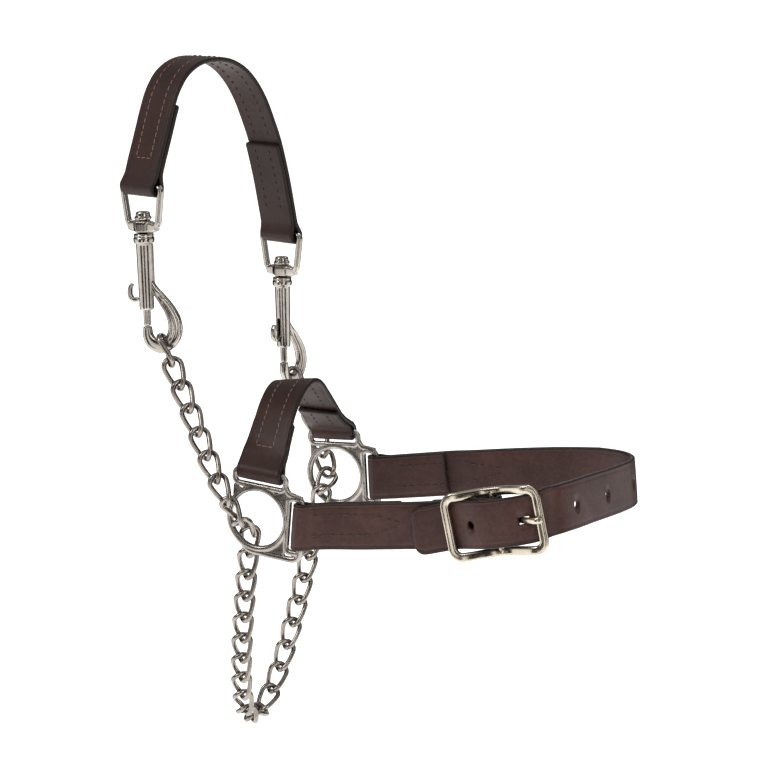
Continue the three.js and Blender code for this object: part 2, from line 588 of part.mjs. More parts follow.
// near run: from the near hook down to the near ring
const stations = { near: [], chin: [], far: [] };
const hookNear = nearSnap(7.2, SNAP.seat + WIRE_R + 0.45);
const hookFar = farSnap(7.2, SNAP.seat + WIRE_R + 0.45);
const A = V(-7.2, -56.3, -1.4);                     // outer end of the link that lies through the near ring
const B = V(-6.8, -45.2, -8.9);                    // its inner end
B.sub(A).setLength(12.5).add(A);
const NEAR_N = 8, FAR_N = 5;

// equal chords along a curve from its first point to its last
function equalChords(ctrl, n) {
  const c = new THREE.CatmullRomCurve3(ctrl, false, 'centripetal');
  const pts = c.getSpacedPoints(1500);
  const walk = p => {
    const out = [pts[0].clone()];
    let i = 1;
    for (let k = 0; k < n; k++) {
      const o = out[k];
      while (i < pts.length && pts[i].distanceTo(o) < p) i++;
      if (i >= pts.length) return { out, over: true };
      out.push(pts[i].clone());
    }
    return { out, over: false };
  };
  let lo = 5, hi = 30;
  for (let j = 0; j < 50; j++) { const m = (lo + hi) / 2; if (walk(m).over) hi = m; else lo = m; }
  const out = walk(lo).out;
  out[n] = pts[pts.length - 1].clone();
  return { out, p: lo };
}
{
  const t = V(-33, -55.5, 45).sub(hookNear).normalize();
  const S0 = hookNear.clone().addScaledVector(t, 1.75);
  const { out: S, p } = equalChords([S0, V(-38.5, -54.0, 57), V(-24.5, -57.8, 29), V(-13.0, -60.2, 10), A], NEAR_N);
  stations.near = S;
  stations.nearInfo = { p };
  for (let i = 0; i < NEAR_N; i++) {
    const r = [0, 0, 0, 0, 0, 5, 12, 22][i];
    add('chain_near_' + (i + 1), linkGeometry(i === 0 ? 90 : r - 45, r + 45, S[i], S[i + 1]), CHAIN);
  }
}
const NEAR_ROLL = 12, FAR_ROLL = 8;
add('chain_near_ring', linkGeometry(-45 + NEAR_ROLL, 45 + NEAR_ROLL, A, B), CHAIN);

// chin loop: hangs between the two rings, symmetric about y = 0 in a plane that leans back
const CHIN_SIDE = 10, CHIN_LEAN = 9.8;
{
  const half = -B.y;
  let lo = 0.2, hi = 3;
  const width = l => { let s = CHIN_P / 2; for (let j = 1; j <= CHIN_SIDE; j++) s += CHIN_P * Math.cos(Math.atan(j * l)); return s; };
  for (let i = 0; i < 60; i++) { const m = (lo + hi) / 2; if (width(m) > half) lo = m; else hi = m; }
  const l = (lo + hi) / 2;
  const pts = [];
  let y = half, d = 0;
  pts.push([y, d]);
  for (let j = CHIN_SIDE; j >= 1; j--) {
    const a = Math.atan(j * l);
    y -= CHIN_P * Math.cos(a); d += CHIN_P * Math.sin(a);
    pts.push([y, d]);
  }
  const ln = rad(CHIN_LEAN);
  const at = (yy, dd) => V(B.x - dd * Math.sin(ln), yy, B.z - dd * Math.cos(ln));
  const nearS = pts.map(([yy, dd]) => at(-yy, dd));
  const farS = pts.map(([yy, dd]) => at(yy, dd));
  stations.chinNear = nearS; stations.chinFar = farS;
  for (let i = 0; i < CHIN_SIDE; i++) {
    const r = [4, 2][i] || 0;
    add('chain_chin_near_' + (i + 1), linkGeometry(r - 45, r + 45, nearS[i], nearS[i + 1]), CHAIN);
    add('chain_chin_far_' + (i + 1), linkGeometry(r - 45, r + 45, farS[i + 1], farS[i]), CHAIN);
  }
  add('chain_chin_bottom', linkGeometry(-45, 45, nearS[CHIN_SIDE], farS[CHIN_SIDE]), CHAIN);
}
const Bf = V(B.x, -B.y, B.z), Af = V(A.x, -A.y, A.z);
add('chain_far_ring', linkGeometry(-45 + FAR_ROLL, 45 + FAR_ROLL, Bf, Af), CHAIN);
{
  const t = V(-27, 60, 44).sub(hookFar).normalize();
  const S0 = hookFar.clone().addScaledVector(t, 1.75);
  const { out: S, p } = equalChords([Af, V(-13.5, 60.6, 9), V(-18.5, 61.8, 24), V(-24.5, 60.6, 40), S0], FAR_N);
  stations.far = S;
  stations.farInfo = { p };
  for (let i = 0; i < FAR_N; i++) {
    const r = [5, 2][i] || 0;
    add('chain_far_' + (i + 1), linkGeometry(r - 45, i === FAR_N - 1 ? -2 : r + 45, S[i], S[i + 1]), CHAIN);
  }
}

export default root;
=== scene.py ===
# Leather headcollar with a running curb chain: looks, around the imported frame.
import bpy, math
import numpy as np
from mathutils import Vector, Matrix, geometry


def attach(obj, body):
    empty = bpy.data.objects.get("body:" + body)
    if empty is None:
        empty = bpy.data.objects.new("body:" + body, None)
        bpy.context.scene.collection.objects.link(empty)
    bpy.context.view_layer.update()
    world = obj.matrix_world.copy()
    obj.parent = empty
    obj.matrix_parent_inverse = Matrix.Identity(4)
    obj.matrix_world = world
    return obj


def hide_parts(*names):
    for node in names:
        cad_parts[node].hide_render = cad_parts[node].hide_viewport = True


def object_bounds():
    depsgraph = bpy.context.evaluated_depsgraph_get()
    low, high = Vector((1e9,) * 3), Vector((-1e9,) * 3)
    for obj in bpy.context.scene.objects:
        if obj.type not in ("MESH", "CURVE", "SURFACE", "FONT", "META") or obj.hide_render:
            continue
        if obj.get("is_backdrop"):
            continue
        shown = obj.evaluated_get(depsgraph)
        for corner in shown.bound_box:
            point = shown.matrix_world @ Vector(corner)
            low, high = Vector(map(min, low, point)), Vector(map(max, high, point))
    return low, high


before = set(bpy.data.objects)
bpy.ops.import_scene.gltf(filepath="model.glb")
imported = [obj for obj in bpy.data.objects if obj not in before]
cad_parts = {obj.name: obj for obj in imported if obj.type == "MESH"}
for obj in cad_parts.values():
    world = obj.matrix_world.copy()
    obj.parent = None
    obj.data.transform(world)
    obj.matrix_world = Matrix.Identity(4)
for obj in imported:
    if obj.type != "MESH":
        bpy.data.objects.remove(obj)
cad_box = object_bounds()

MM = 0.001
X3 = np.array([1.0, 0, 0]); Y3 = np.array([0, 1.0, 0]); Z3 = np.array([0, 0, 1.0])
V = lambda *a: np.array(a, float)
rad = math.radians


def unit(v):
    v = np.asarray(v, float)
    return v / np.linalg.norm(v, axis=-1, keepdims=True)


# ------------------------------------------------------------------ camera
def camera():
    cam = bpy.data.cameras.new("camera")
    ob = bpy.data.objects.new("camera", cam)
    bpy.context.scene.collection.objects.link(ob)
    a, e = rad(23.5), rad(12.3)
    fwd = Vector((-math.sin(a) * math.cos(e), math.cos(a) * math.cos(e), -math.sin(e)))
    ob.location = (0.47522, -0.97240, 0.29994)
    ob.rotation_euler = fwd.to_track_quat("-Z", "Y").to_euler()
    cam.sensor_width = 36
    cam.lens = 93.23
    cam.clip_start = 0.01
    cam.clip_end = 100
    bpy.context.scene.camera = ob


camera()


# ------------------------------------------------------------------ curves
def catmull(ctrl, per=60):
    """Centripetal curve through points."""
    P = [np.asarray(p, float) for p in ctrl]
    P = [2 * P[0] - P[1]] + P + [2 * P[-1] - P[-2]]
    out = []
    for i in range(1, len(P) - 2):
        p0, p1, p2, p3 = P[i - 1:i + 3]
        d0 = np.linalg.norm(p1 - p0) ** 0.5
        d1 = np.linalg.norm(p2 - p1) ** 0.5
        d2 = np.linalg.norm(p3 - p2) ** 0.5
        d1 = d1 if d1 > 1e-4 else 1.0
        d0 = d0 if d0 > 1e-4 else d1
        d2 = d2 if d2 > 1e-4 else d1
        t1 = ((p1 - p0) / d0 - (p2 - p0) / (d0 + d1) + (p2 - p1) / d1) * d1
        t2 = ((p2 - p1) / d1 - (p3 - p1) / (d1 + d2) + (p3 - p2) / d2) * d1
        a, b = 2 * p1 - 2 * p2 + t1 + t2, -3 * p1 + 3 * p2 - 2 * t1 - t2
        for k in range(per):
            t = k / per
            out.append(p1 + t1 * t + b * t * t + a * t ** 3)
    out.append(P[-2])
    return np.array(out)


def resample(pts, step=None, n=None, closed=False):
    pts = np.asarray(pts, float)
    if closed:
        pts = np.vstack([pts, pts[:1]])
    d = np.r_[0, np.cumsum(np.linalg.norm(np.diff(pts, axis=0), axis=1))]
    n = n or max(2, int(round(d[-1] / step)) + 1)
    s = np.linspace(0, d[-1], n + 1 if closed else n)
    if closed:
        s = s[:-1]
    return np.stack([np.interp(s, d, pts[:, k]) for k in range(pts.shape[1])], 1)


class Planar:
    def __init__(self, ctrl, outward):
        self.p = resample(catmull(ctrl), n=900)
        self.len = np.r_[0, np.cumsum(np.linalg.norm(np.diff(self.p, axis=0), axis=1))]
        self.total = self.len[-1]
        t = np.gradient(self.p, axis=0)
        self.t = unit(t)
        self.o = outward

    def at(self, s, n=0.0):
        if s <= 0:
            t = self.t[0]; p = self.p[0] + t * s
        elif s >= self.total:
            t = self.t[-1]; p = self.p[-1] + t * (s - self.total)
        else:
            t = unit(V(np.interp(s, self.len, self.t[:, 0]), np.interp(s, self.len, self.t[:, 1])))
            p = V(np.interp(s, self.len, self.p[:, 0]), np.interp(s, self.len, self.p[:, 1]))
        return p + V(-t[1], t[0]) * self.o * n

    def find(self, x, y):
        return self.len[np.argmin(np.hypot(self.p[:, 0] - x, self.p[:, 1] - y))]


def table(tab):
    xs, ys = [t[0] for t in tab], [t[1] for t in tab]
    return lambda x: float(np.interp(x, xs, ys))


# ------------------------------------------------------------------ meshes
def new_object(name, verts, faces, smooth=True, attrs=None):
    me = bpy.data.meshes.new(name)
    me.from_pydata((np.asarray(verts, float) * MM).tolist(), [], [list(f) for f in faces])
    me.validate()
    if smooth:
        me.polygons.foreach_set("use_smooth", [True] * len(me.polygons))
    for k, v in (attrs or {}).items():
        at = me.attributes.new(k, "FLOAT", "POINT")
        at.data.foreach_set("value", np.asarray(v, np.float32))
    me.update()
    ob = bpy.data.objects.new(name, me)
    bpy.context.scene.collection.objects.link(ob)
    return ob


def fix_normals(ob):
    import bmesh
    bm = bmesh.new(); bm.from_mesh(ob.data)
    bmesh.ops.recalc_face_normals(bm, faces=bm.faces)
    bm.to_mesh(ob.data); bm.free()
    ob.data.update()


def loft(rings, closed=False, caps=True):
    rings = np.asarray(rings, float)
    m, n = rings.shape[:2]
    verts = rings.reshape(-1, 3)
    faces = []
    for i in range(m if closed else m - 1):
        a, b = i * n, ((i + 1) % m) * n
        for j in range(n):
            k = (j + 1) % n
            faces.append((a + j, a + k, b + k, b + j))
    if not closed and caps:
        faces.append(tuple(range(n - 1, -1, -1)))
        faces.append(tuple(range((m - 1) * n, m * n)))
    return verts, faces


def sweep(points, side, hw, ht, sides=16, closed=False, power=2.0, shape=None):
    """side(i, p) is the section's first axis; hw and ht half sizes; power > 2 squares the section."""
    pts = np.asarray(points, float)
    n = len(pts)
    rings = []
    for i, p in enumerate(pts):
        a = pts[(i - 1) % n if closed else max(0, i - 1)]
        b = pts[(i + 1) % n if closed else min(n - 1, i + 1)]
        t = unit(b - a)
        s0 = side(i, p)
        u = unit(s0 - t * np.dot(s0, t))
        v = unit(np.cross(t, u))
        w = hw(i) if callable(hw) else hw
        h = ht(i) if callable(ht) else ht
        ring = []
        for j in range(sides):
            q = 2 * math.pi * (j + 0.5) / sides
            c, s = math.cos(q), math.sin(q)
            c = math.copysign(abs(c) ** (2 / power), c)
            s = math.copysign(abs(s) ** (2 / power), s)
            if shape:
                c, s = shape(i, c, s)
            ring.append(p + u * w * c + v * h * s)
        rings.append(ring)
    return loft(rings, closed)


def lathe(profile, seg=48):
    """profile (r, z) from bottom to top, closed on the axis; about local z."""
    rings = []
    for r, z in profile:
        r = max(r, 1e-3)
        rings.append([(r * math.cos(2 * math.pi * j / seg), r * math.sin(2 * math.pi * j / seg), z) for j in range(seg)])
    return loft(rings)


def join(parts):
    verts, faces, o = [], [], 0
    for v, f in parts:
        verts.append(np.asarray(v, float))
        faces += [tuple(i + o for i in q) for q in f]
        o += len(v)
    return np.vstack(verts), faces


def box_mesh(c, h, ax=None):
    """centre, half sizes, axes as rows."""
    ax = np.eye(3) if ax is None else ax
    vs = [np.asarray(c) + sum(s * hh * a for s, hh, a in zip(sg, h, ax))
          for sg in [(-1, -1, -1), (1, -1, -1), (1, 1, -1), (-1, 1, -1), (-1, -1, 1), (1, -1, 1), (1, 1, 1), (-1, 1, 1)]]
    return np.array(vs), [(0, 3, 2, 1), (4, 5, 6, 7), (0, 1, 5, 4), (1, 2, 6, 5), (2, 3, 7, 6), (3, 0, 4, 7)]


def cylinder(a, b, r, seg=24):
    a, b = np.asarray(a, float), np.asarray(b, float)
    t = unit(b - a)
    u = unit(np.cross(t, Z3 if abs(t[2]) < 0.9 else X3))
    v = np.cross(t, u)
    return loft([[p + r * (u * math.cos(2 * math.pi * j / seg) + v * math.sin(2 * math.pi * j / seg)) for j in range(seg)] for p in (a, b)])


def place(mesh, M):
    v, f = mesh
    return np.asarray(v) @ M[:3, :3].T + M[:3, 3], f


def rot(axis, deg):
    return np.array(Matrix.Rotation(rad(deg), 3, Vector(axis)))


def evaluated(ob):
    dg = bpy.context.evaluated_depsgraph_get()
    dg.update()
    me = bpy.data.meshes.new_from_object(ob.evaluated_get(dg))
    old = ob.data
    ob.modifiers.clear()
    ob.data = me
    bpy.data.meshes.remove(old)
    return ob


def boolean(ob, tool_mesh, op="DIFFERENCE"):
    tool = new_object("tool", *tool_mesh)
    fix_normals(tool)
    fix_normals(ob)
    m = ob.modifiers.new("b", "BOOLEAN")
    m.object = tool; m.operation = op; m.solver = "EXACT"
    evaluated(ob)
    bpy.data.objects.remove(tool)
    return ob


def cast(ob, voxel=0.3, smooth=5, factor=0.5):
    """Runs overlapping closed solids together as one casting with small fillets."""
    fix_normals(ob)
    m = ob.modifiers.new("r", "REMESH")
    m.mode = "VOXEL"; m.voxel_size = voxel * MM; m.adaptivity = 0
    m.use_smooth_shade = True
    s = ob.modifiers.new("s", "SMOOTH")
    s.factor = factor; s.iterations = smooth
    evaluated(ob)
    ob.data.polygons.foreach_set("use_smooth", [True] * len(ob.data.polygons))
    return ob


def rounded_poly(pts, seg):
    out = []
    n = len(pts)
    for i, (x, z, r) in enumerate(pts):
        p = V(x, z)
        a = V(*pts[i - 1][:2]) - p
        b = V(*pts[(i + 1) % n][:2]) - p
        if not r:
            out.append(p); continue
        la, lb = np.linalg.norm(a), np.linalg.norm(b)
        a, b = a / la, b / lb
        half = math.acos(max(-1, min(1, float(a @ b)))) / 2
        d = min(r / math.tan(half), la * 0.49, lb * 0.49)
        rr = d * math.tan(half)
        c = unit(a + b) * rr / math.sin(half) + p
        s, e = a * d + p - c, b * d + p - c
        a0, a1 = math.atan2(s[1], s[0]), math.atan2(e[1], e[0])
        da = (a1 - a0 + math.pi) % (2 * math.pi) - math.pi
        for k in range(seg + 1):
            t = a0 + da * k / seg
            out.append(c + rr * V(math.cos(t), math.sin(t)))
    return np.array(out)


# ------------------------------------------------------------------ materials
def nodes_of(name):
    m = bpy.data.materials.new(name)
    m.use_nodes = True
    nt = m.node_tree
    return m, nt, nt.nodes["Principled BSDF"]


def N(nt, kind, **kw):
    n = nt.nodes.new(kind)
    for k, v in kw.items():
        if k in n.inputs.keys():
            n.inputs[k].default_value = v
        else:
            setattr(n, k, v)
    return n


def srgb(r, g, b):
    f = lambda c: (c / 255 / 12.92) if c <= 10 else (((c / 255) + 0.055) / 1.055) ** 2.4
    return (f(r), f(g), f(b), 1)


def mix(nt, a, b, fac):
    m = N(nt, "ShaderNodeMix", data_type="RGBA")
    for sock, val in ((m.inputs[6], a), (m.inputs[7], b), (m.inputs[0], fac)):
        if hasattr(val, "is_linked") or isinstance(val, bpy.types.NodeSocket):
            nt.links.new(val, sock)
        else:
            sock.default_value = val
    return m.outputs[2]


def math_node(nt, op, a, b=None, clamp=False):
    m = N(nt, "ShaderNodeMath", operation=op, use_clamp=clamp)
    for i, val in enumerate((a, b)):
        if val is None:
            continue
        if isinstance(val, bpy.types.NodeSocket):
            nt.links.new(val, m.inputs[i])
        else:
            m.inputs[i].default_value = val
    return m.outputs[0]


def ramp(nt, fac, stops):
    r = N(nt, "ShaderNodeValToRGB")
    el = r.color_ramp.elements
    while len(el) > 1:
        el.remove(el[-1])
    el[0].position, el[0].color = stops[0]
    for p, c in stops[1:]:
        e = el.new(p); e.color = c
    nt.links.new(fac, r.inputs[0])
    return r.outputs[0]


def leather(name, light, dark, edge_col, rough=0.42, grain=1.0):
    m, nt, bs = nodes_of(name)
    tc = N(nt, "ShaderNodeTexCoord")
    obj = tc.outputs["Object"]

    def noise(scale, detail=4, roughness=0.55, w=0.0):
        n = N(nt, "ShaderNodeTexNoise", Scale=scale, Detail=detail, Roughness=roughness)
        nt.links.new(obj, n.inputs["Vector"])
        return n.outputs["Fac"]
    cloud = noise(38, 5)
    fine = noise(420, 3, 0.6)
    tone = ramp(nt, cloud, [(0.30, dark), (0.70, light)])
    speck = ramp(nt, fine, [(0.35, (0.80, 0.79, 0.79, 1)), (0.65, (1.10, 1.09, 1.08, 1))])
    mul = N(nt, "ShaderNodeMix", data_type="RGBA", blend_type="MULTIPLY")
    mul.inputs[0].default_value = 1.0
    nt.links.new(tone, mul.inputs[6]); nt.links.new(speck, mul.inputs[7])
    at = N(nt, "ShaderNodeAttribute", attribute_name="edge")
    col = mix(nt, mul.outputs[2], edge_col, at.outputs["Fac"])
    nt.links.new(col, bs.inputs["Base Color"])
    # grain: pebbled cells with pores, plus long soft creases
    vor = N(nt, "ShaderNodeTexVoronoi", Scale=1150.0, feature="SMOOTH_F1")
    vor.inputs["Smoothness"].default_value = 0.6
    wob = N(nt, "ShaderNodeTexNoise", Scale=900.0, Detail=2.0)
    nt.links.new(obj, wob.inputs["Vector"])
    add = N(nt, "ShaderNodeMix", data_type="VECTOR")
    add.inputs[0].default_value = 0.0012
    nt.links.new(obj, add.inputs[4]); nt.links.new(wob.outputs["Color"], add.inputs[5])
    nt.links.new(add.outputs[1], vor.inputs["Vector"])
    cre = noise(160, 4, 0.6)
    h = math_node(nt, "ADD", math_node(nt, "MULTIPLY", vor.outputs["Distance"], 0.55 * grain),
                  math_node(nt, "MULTIPLY", cre, 1.2 * grain))
    h = math_node(nt, "ADD", h, math_node(nt, "MULTIPLY", fine, 0.35 * grain))
    bump = N(nt, "ShaderNodeBump", Strength=0.34, Distance=0.00022)
    nt.links.new(h, bump.inputs["Height"])
    nt.links.new(bump.outputs["Normal"], bs.inputs["Normal"])
    r = math_node(nt, "ADD", math_node(nt, "MULTIPLY", noise(70, 4), 0.26), rough - 0.13)
    r = math_node(nt, "ADD", r, math_node(nt, "MULTIPLY", at.outputs["Fac"], -0.06))
    nt.links.new(r, bs.inputs["Roughness"])
    bs.inputs["Specular IOR Level"].default_value = 0.24
    bs.inputs["Coat Weight"].default_value = 0.03
    bs.inputs["Coat Roughness"].default_value = 0.28
    bs.inputs["Sheen Weight"].default_value = 0.02
    bs.inputs["Sheen Roughness"].default_value = 0.5
    return m


def metal(name, light, dark, rough=0.16, scratch=1.0):
    m, nt, bs = nodes_of(name)
    tc = N(nt, "ShaderNodeTexCoord")
    obj = tc.outputs["Object"]
    a = N(nt, "ShaderNodeTexNoise", Scale=90.0, Detail=5.0, Roughness=0.6)
    nt.links.new(obj, a.inputs["Vector"])
    b = N(nt, "ShaderNodeTexNoise", Scale=900.0, Detail=3.0, Roughness=0.6)
    nt.links.new(obj, b.inputs["Vector"])
    col = ramp(nt, a.outputs["Fac"], [(0.32, dark), (0.62, light)])
    # painted shade: concave crevices darkened by a pointiness ramp, with a warm tint
    geo = N(nt, "ShaderNodeNewGeometry")
    # painted shade in the crevices, multiplied into the base colour
    painted_crevice_shade = ramp(nt, geo.outputs["Pointiness"], [(0.44, (0.42, 0.39, 0.35, 1)), (0.50, (1, 1, 1, 1))])
    mul = N(nt, "ShaderNodeMix", data_type="RGBA", blend_type="MULTIPLY")
    mul.inputs[0].default_value = 0.85
    nt.links.new(col, mul.inputs[6]); nt.links.new(painted_crevice_shade, mul.inputs[7])
    nt.links.new(mul.outputs[2], bs.inputs["Base Color"])
    bs.inputs["Metallic"].default_value = 1.0
    r = math_node(nt, "ADD", math_node(nt, "MULTIPLY", a.outputs["Fac"], 0.16 * scratch), rough - 0.07)
    r = math_node(nt, "ADD", r, math_node(nt, "MULTIPLY", b.outputs["Fac"], 0.05 * scratch))
    nt.links.new(r, bs.inputs["Roughness"])
    bump = N(nt, "ShaderNodeBump", Strength=0.10 * scratch, Distance=0.0002)
    nt.links.new(b.outputs["Fac"], bump.inputs["Height"])
    nt.links.new(bump.outputs["Normal"], bs.inputs["Normal"])
    return m


def thread(name, c):
    m, nt, bs = nodes_of(name)
    tc = N(nt, "ShaderNodeTexCoord")
    w = N(nt, "ShaderNodeTexWave", Scale=520.0, Distortion=2.0)
    w.bands_direction = "DIAGONAL"
    nt.links.new(tc.outputs["Object"], w.inputs["Vector"])
    col = ramp(nt, w.outputs["Fac"], [(0.1, tuple(x * 0.55 for x in c[:3]) + (1,)), (0.8, c)])
    nt.links.new(col, bs.inputs["Base Color"])
    bump = N(nt, "ShaderNodeBump", Strength=0.5, Distance=0.0002)
    nt.links.new(w.outputs["Fac"], bump.inputs["Height"])
    nt.links.new(bump.outputs["Normal"], bs.inputs["Normal"])
    bs.inputs["Roughness"].default_value = 0.6
    return m


LEATHER = leather("bridle_leather", srgb(68, 43, 38), srgb(47, 28, 25), srgb(32, 19, 16))
LEATHER_DARK = leather("bridle_leather_dark", srgb(50, 25, 17), srgb(33, 15, 10), srgb(26, 14, 10), rough=0.5)
NICKEL = metal("nickel_cast", (0.47, 0.43, 0.385, 1), (0.31, 0.28, 0.245, 1), 0.15)
NICKEL_PLATE = metal("nickel_plate", (0.43, 0.395, 0.36, 1), (0.25, 0.225, 0.20, 1), 0.20, 1.4)
WARM = metal("nickel_warm", (0.54, 0.475, 0.385, 1), (0.38, 0.33, 0.255, 1), 0.16)
STEEL = metal("chain_steel", (0.34, 0.305, 0.27, 1), (0.19, 0.165, 0.145, 1), 0.20, 1.3)
THREAD = thread("thread_brown", srgb(128, 98, 84))
THREAD_DARK = thread("thread_dark", srgb(46, 28, 26))


def finish_piece(ob, mat, body, nodes):
    ob.data.materials.clear()
    ob.data.materials.append(mat)
    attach(ob, body)
    if nodes:
        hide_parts(*nodes)
    return ob


# ------------------------------------------------------------------ straps
HALF, PLY, SLIT = 12.7, 2.6, 0.2
OFF = (PLY + SLIT) / 2
FOLD_R, BUCKLE_FOLD_R = 3.7, 3.4


def fold_line(s0, d, r, off, inner):
    top = [(9, off), (7, off + 0.1), (4.3, off + (r - off) * 0.36)]
    arc = [(r * math.cos(rad(a)), r * math.sin(rad(a))) for a in range(60, 301, 20)]
    allp = top + arc + [(s, -n) for s, n in reversed(top)] + [(inner, -off)]
    pts = [(s0 - d * s, n) for s, n in allp]
    return pts if d > 0 else pts[::-1]


def plain(s0, s1, n, step):
    k = max(1, math.ceil(abs(s1 - s0) / step))
    return [(s0 + (s1 - s0) * i / k, n) for i in range(1, k)]


def strap(name, mids, h_of, width_at=None, thick=PLY, thin_ends=(0, 0)):
    """A strap of one ply thickness along its middle line, with round burnished edges and a crease along each."""
    d = [mids[0]]
    for p in mids[1:]:
        if np.linalg.norm(p - d[-1]) > 0.5:
            d.append(p)
    line = resample(catmull(d, 12), step=1.1)
    n = len(line)
    rings, edge = [], []
    q = thick / 2
    # section: across w from -1 to 1 along the top, round the edge, and back
    prof = []
    m = 15
    for k in range(m):
        w = -1 + 2 * k / (m - 1)
        prof.append(("t", w))
    s = np.r_[0, np.cumsum(np.linalg.norm(np.diff(line, axis=0), axis=1))]
    for i in range(n):
        a, b = line[max(0, i - 1)], line[min(n - 1, i + 1)]
        t = unit(b - a)
        h = unit(h_of(line[i]))
        nn = unit(np.cross(t, h))
        hw = width_at(s[i], s[-1]) if width_at else HALF
        qq = q
        for end, dist in ((thin_ends[0], s[i]), (thin_ends[1], s[-1] - s[i])):
            if end and dist < end:
                qq = q * (0.55 + 0.45 * dist / end)
        # soft shoulders at the strap's cut ends
        e = min(s[i], s[-1] - s[i])
        if e < 0.9:
            hw -= 0.5 * (1 - e / 0.9) ** 2
            qq *= 0.72 + 0.28 * (e / 0.9) ** 0.5
        ring, ed = [], []
        rr = min(0.75, qq * 0.75)
        xs = [hw - rr, hw - 1.5, hw - 2.1, hw - 2.7, hw - 4.0, hw * 0.45, 0, -hw * 0.45, -(hw - 4.0), -(hw - 2.7), -(hw - 2.1), -(hw - 1.5), -(hw - rr)]
        dz = [0, -0.02, -0.17, -0.01, 0.02, 0.05, 0.06, 0.05, 0.02, -0.01, -0.17, -0.02, 0]
        for x, z in zip(xs, dz):
            ring.append(line[i] + nn * (qq + z) + h * x); ed.append(1.0 if abs(x) > hw - 1.0 else (0.35 if abs(abs(x) - (hw - 2.1)) < 0.1 else 0.0))
        for a2 in (30, 60, 90, 120, 150):
            c, sn = math.cos(rad(a2)), math.sin(rad(a2))
            ring.append(line[i] + nn * (c * (qq - rr) / 1.0 * 0 + (qq - rr) * (1 if c > 0.01 else -1 if c < -0.01 else 0) + rr * c) + h * (-(hw - rr) - rr * sn)); ed.append(1.0)
        for x, z in zip(xs[::-1], dz):
            ring.append(line[i] - nn * (qq + z * 0.6) + h * x); ed.append(1.0 if abs(x) > hw - 1.0 else 0.12)
        for a2 in (30, 60, 90, 120, 150):
            c, sn = -math.cos(rad(a2)), math.sin(rad(a2))
            ring.append(line[i] + nn * ((qq - rr) * (1 if c > 0.01 else -1 if c < -0.01 else 0) + rr * c) + h * ((hw - rr) + rr * sn)); ed.append(1.0)
        if e < 0.6:
            ed = [1.0] * len(ed)
        rings.append(ring); edge += ed
    v, f = loft(rings)
    ob = new_object(name, v, f, True, {"edge": edge})
    fix_normals(ob)
    return ob


def stitches(name, tracks, length=3.4, r=0.42, sink=0.10, jitter=3):
    """tracks: lists of (point on the surface, along, outward normal). One thread bead per point."""
    rng = np.random.RandomState(jitter)
    parts = []
    for tr in tracks:
        for p, t, nn in tr:
            t, nn = unit(t), unit(nn)
            s = unit(np.cross(nn, t))
            ang = rng.uniform(-0.09, 0.09) + 0.10
            t2 = unit(t * math.cos(ang) + s * math.sin(ang))
            s2 = np.cross(nn, t2)
            L = length * rng.uniform(0.93, 1.05)
            rings = []
            for k in range(9):
                x = -1 + 2 * k / 8
                rr = r * math.sqrt(max(0.02, 1 - abs(x) ** 3.2))
                c = p + t2 * (x * L / 2) + nn * (0.22 * (1 - x * x) * 1.0 + r * 0.35 - sink - 0.30 * x ** 4)
                rings.append([c + nn * rr * 0.85 * math.cos(2 * math.pi * j / 8) + s2 * rr * math.sin(2 * math.pi * j / 8) for j in range(8)])
            parts.append(loft(rings))
    v, f = join(parts)
    ob = new_object(name, v, f)
    fix_normals(ob)
    return ob


def track(point, s0, s1, pitch=4.9):
    """point(s) -> position; normal(s) given by point.n"""
    n = max(1, int(round(abs(s1 - s0) / pitch)))
    out = []
    for k in range(n):
        s = s0 + (s1 - s0) * (k + 0.5) / n
        p, nn = point(s)
        q, _ = point(s + 0.5 * (1 if s1 > s0 else -1))
        out.append((p, q - p, nn))
    return out


# crown strap
CROWN_YAW, CROWN_X = 18.35, -51.2
crownD = V(math.sin(rad(CROWN_YAW)), math.cos(rad(CROWN_YAW)), 0)
crownW = V(math.cos(rad(CROWN_YAW)), -math.sin(rad(CROWN_YAW)), 0)
crown_at = lambda u, v, w=0.0: V(CROWN_X, 0, v) + crownD * u + crownW * w
CN, CF = (-52, 176.3), (53.3, 140)
crown = Planar([CN, (-49.4, 186), (-45.6, 196.5), (-42, 206.4), (-38.3, 216.6), (-33.9, 226.2), (-27, 234.6),
                (-17, 239.8), (-6, 241), (5, 239.2), (14.5, 234.4), (22, 227.4), (28.7, 218), (34.4, 206.5),
                (39.4, 194.9), (43.1, 183.3), (46.3, 171.7), (49, 160), (51.3, 149.5), CF], 1)
T = crown.total
line = ([(46, -OFF)] + plain(46, 9, -OFF, 7) + fold_line(0, -1, FOLD_R, OFF, 46)[1:] + plain(9, T - 9, OFF, 6)
        + fold_line(T, 1, FOLD_R, OFF, 55)[:-1] + plain(T - 9, T - 55, -OFF, 7) + [(T - 55, -OFF)])
mids = [crown_at(*crown.at(s, n)) for s, n in line]
ob = strap("crown_leather", mids, lambda p: crownW, thin_ends=(0, 0))
finish_piece(ob, LEATHER_DARK, "headstraps", ["crown_strap"])


def on_crown(w, side):
    def f(s):
        o = side * (OFF + PLY / 2 + 0.02)
        p = crown_at(*crown.at(s, o), w)
        q = crown_at(*crown.at(s, o + side), w)
        return p, unit(q - p)
    return f


def on_crown_across(s, side):
    def f(w):
        return on_crown(w, side)(s)
    return f


rows = [track(on_crown(w, 1), 15.5, T - 15.5, 3.6) for w in (-5.6, 5.6)]
rows += [track(on_crown_across(15.0, 1), -5.6, 5.6, 3.8), track(on_crown_across(T - 15.0, 1), -5.6, 5.6, 3.8)]
ob = stitches("crown_stitching", rows, length=3.2, r=0.27)
finish_piece(ob, THREAD, "headstraps", [])
# the same seam shows on the flesh side, below the turned back plies and through the single ply above
inner_rows = [track(on_crown(w, -1), 15.5, 44, 4.6) for w in (-5.6, 5.6)] + [track(on_crown(w, -1), T - 53, T - 15.5, 4.6) for w in (-5.6, 5.6)]


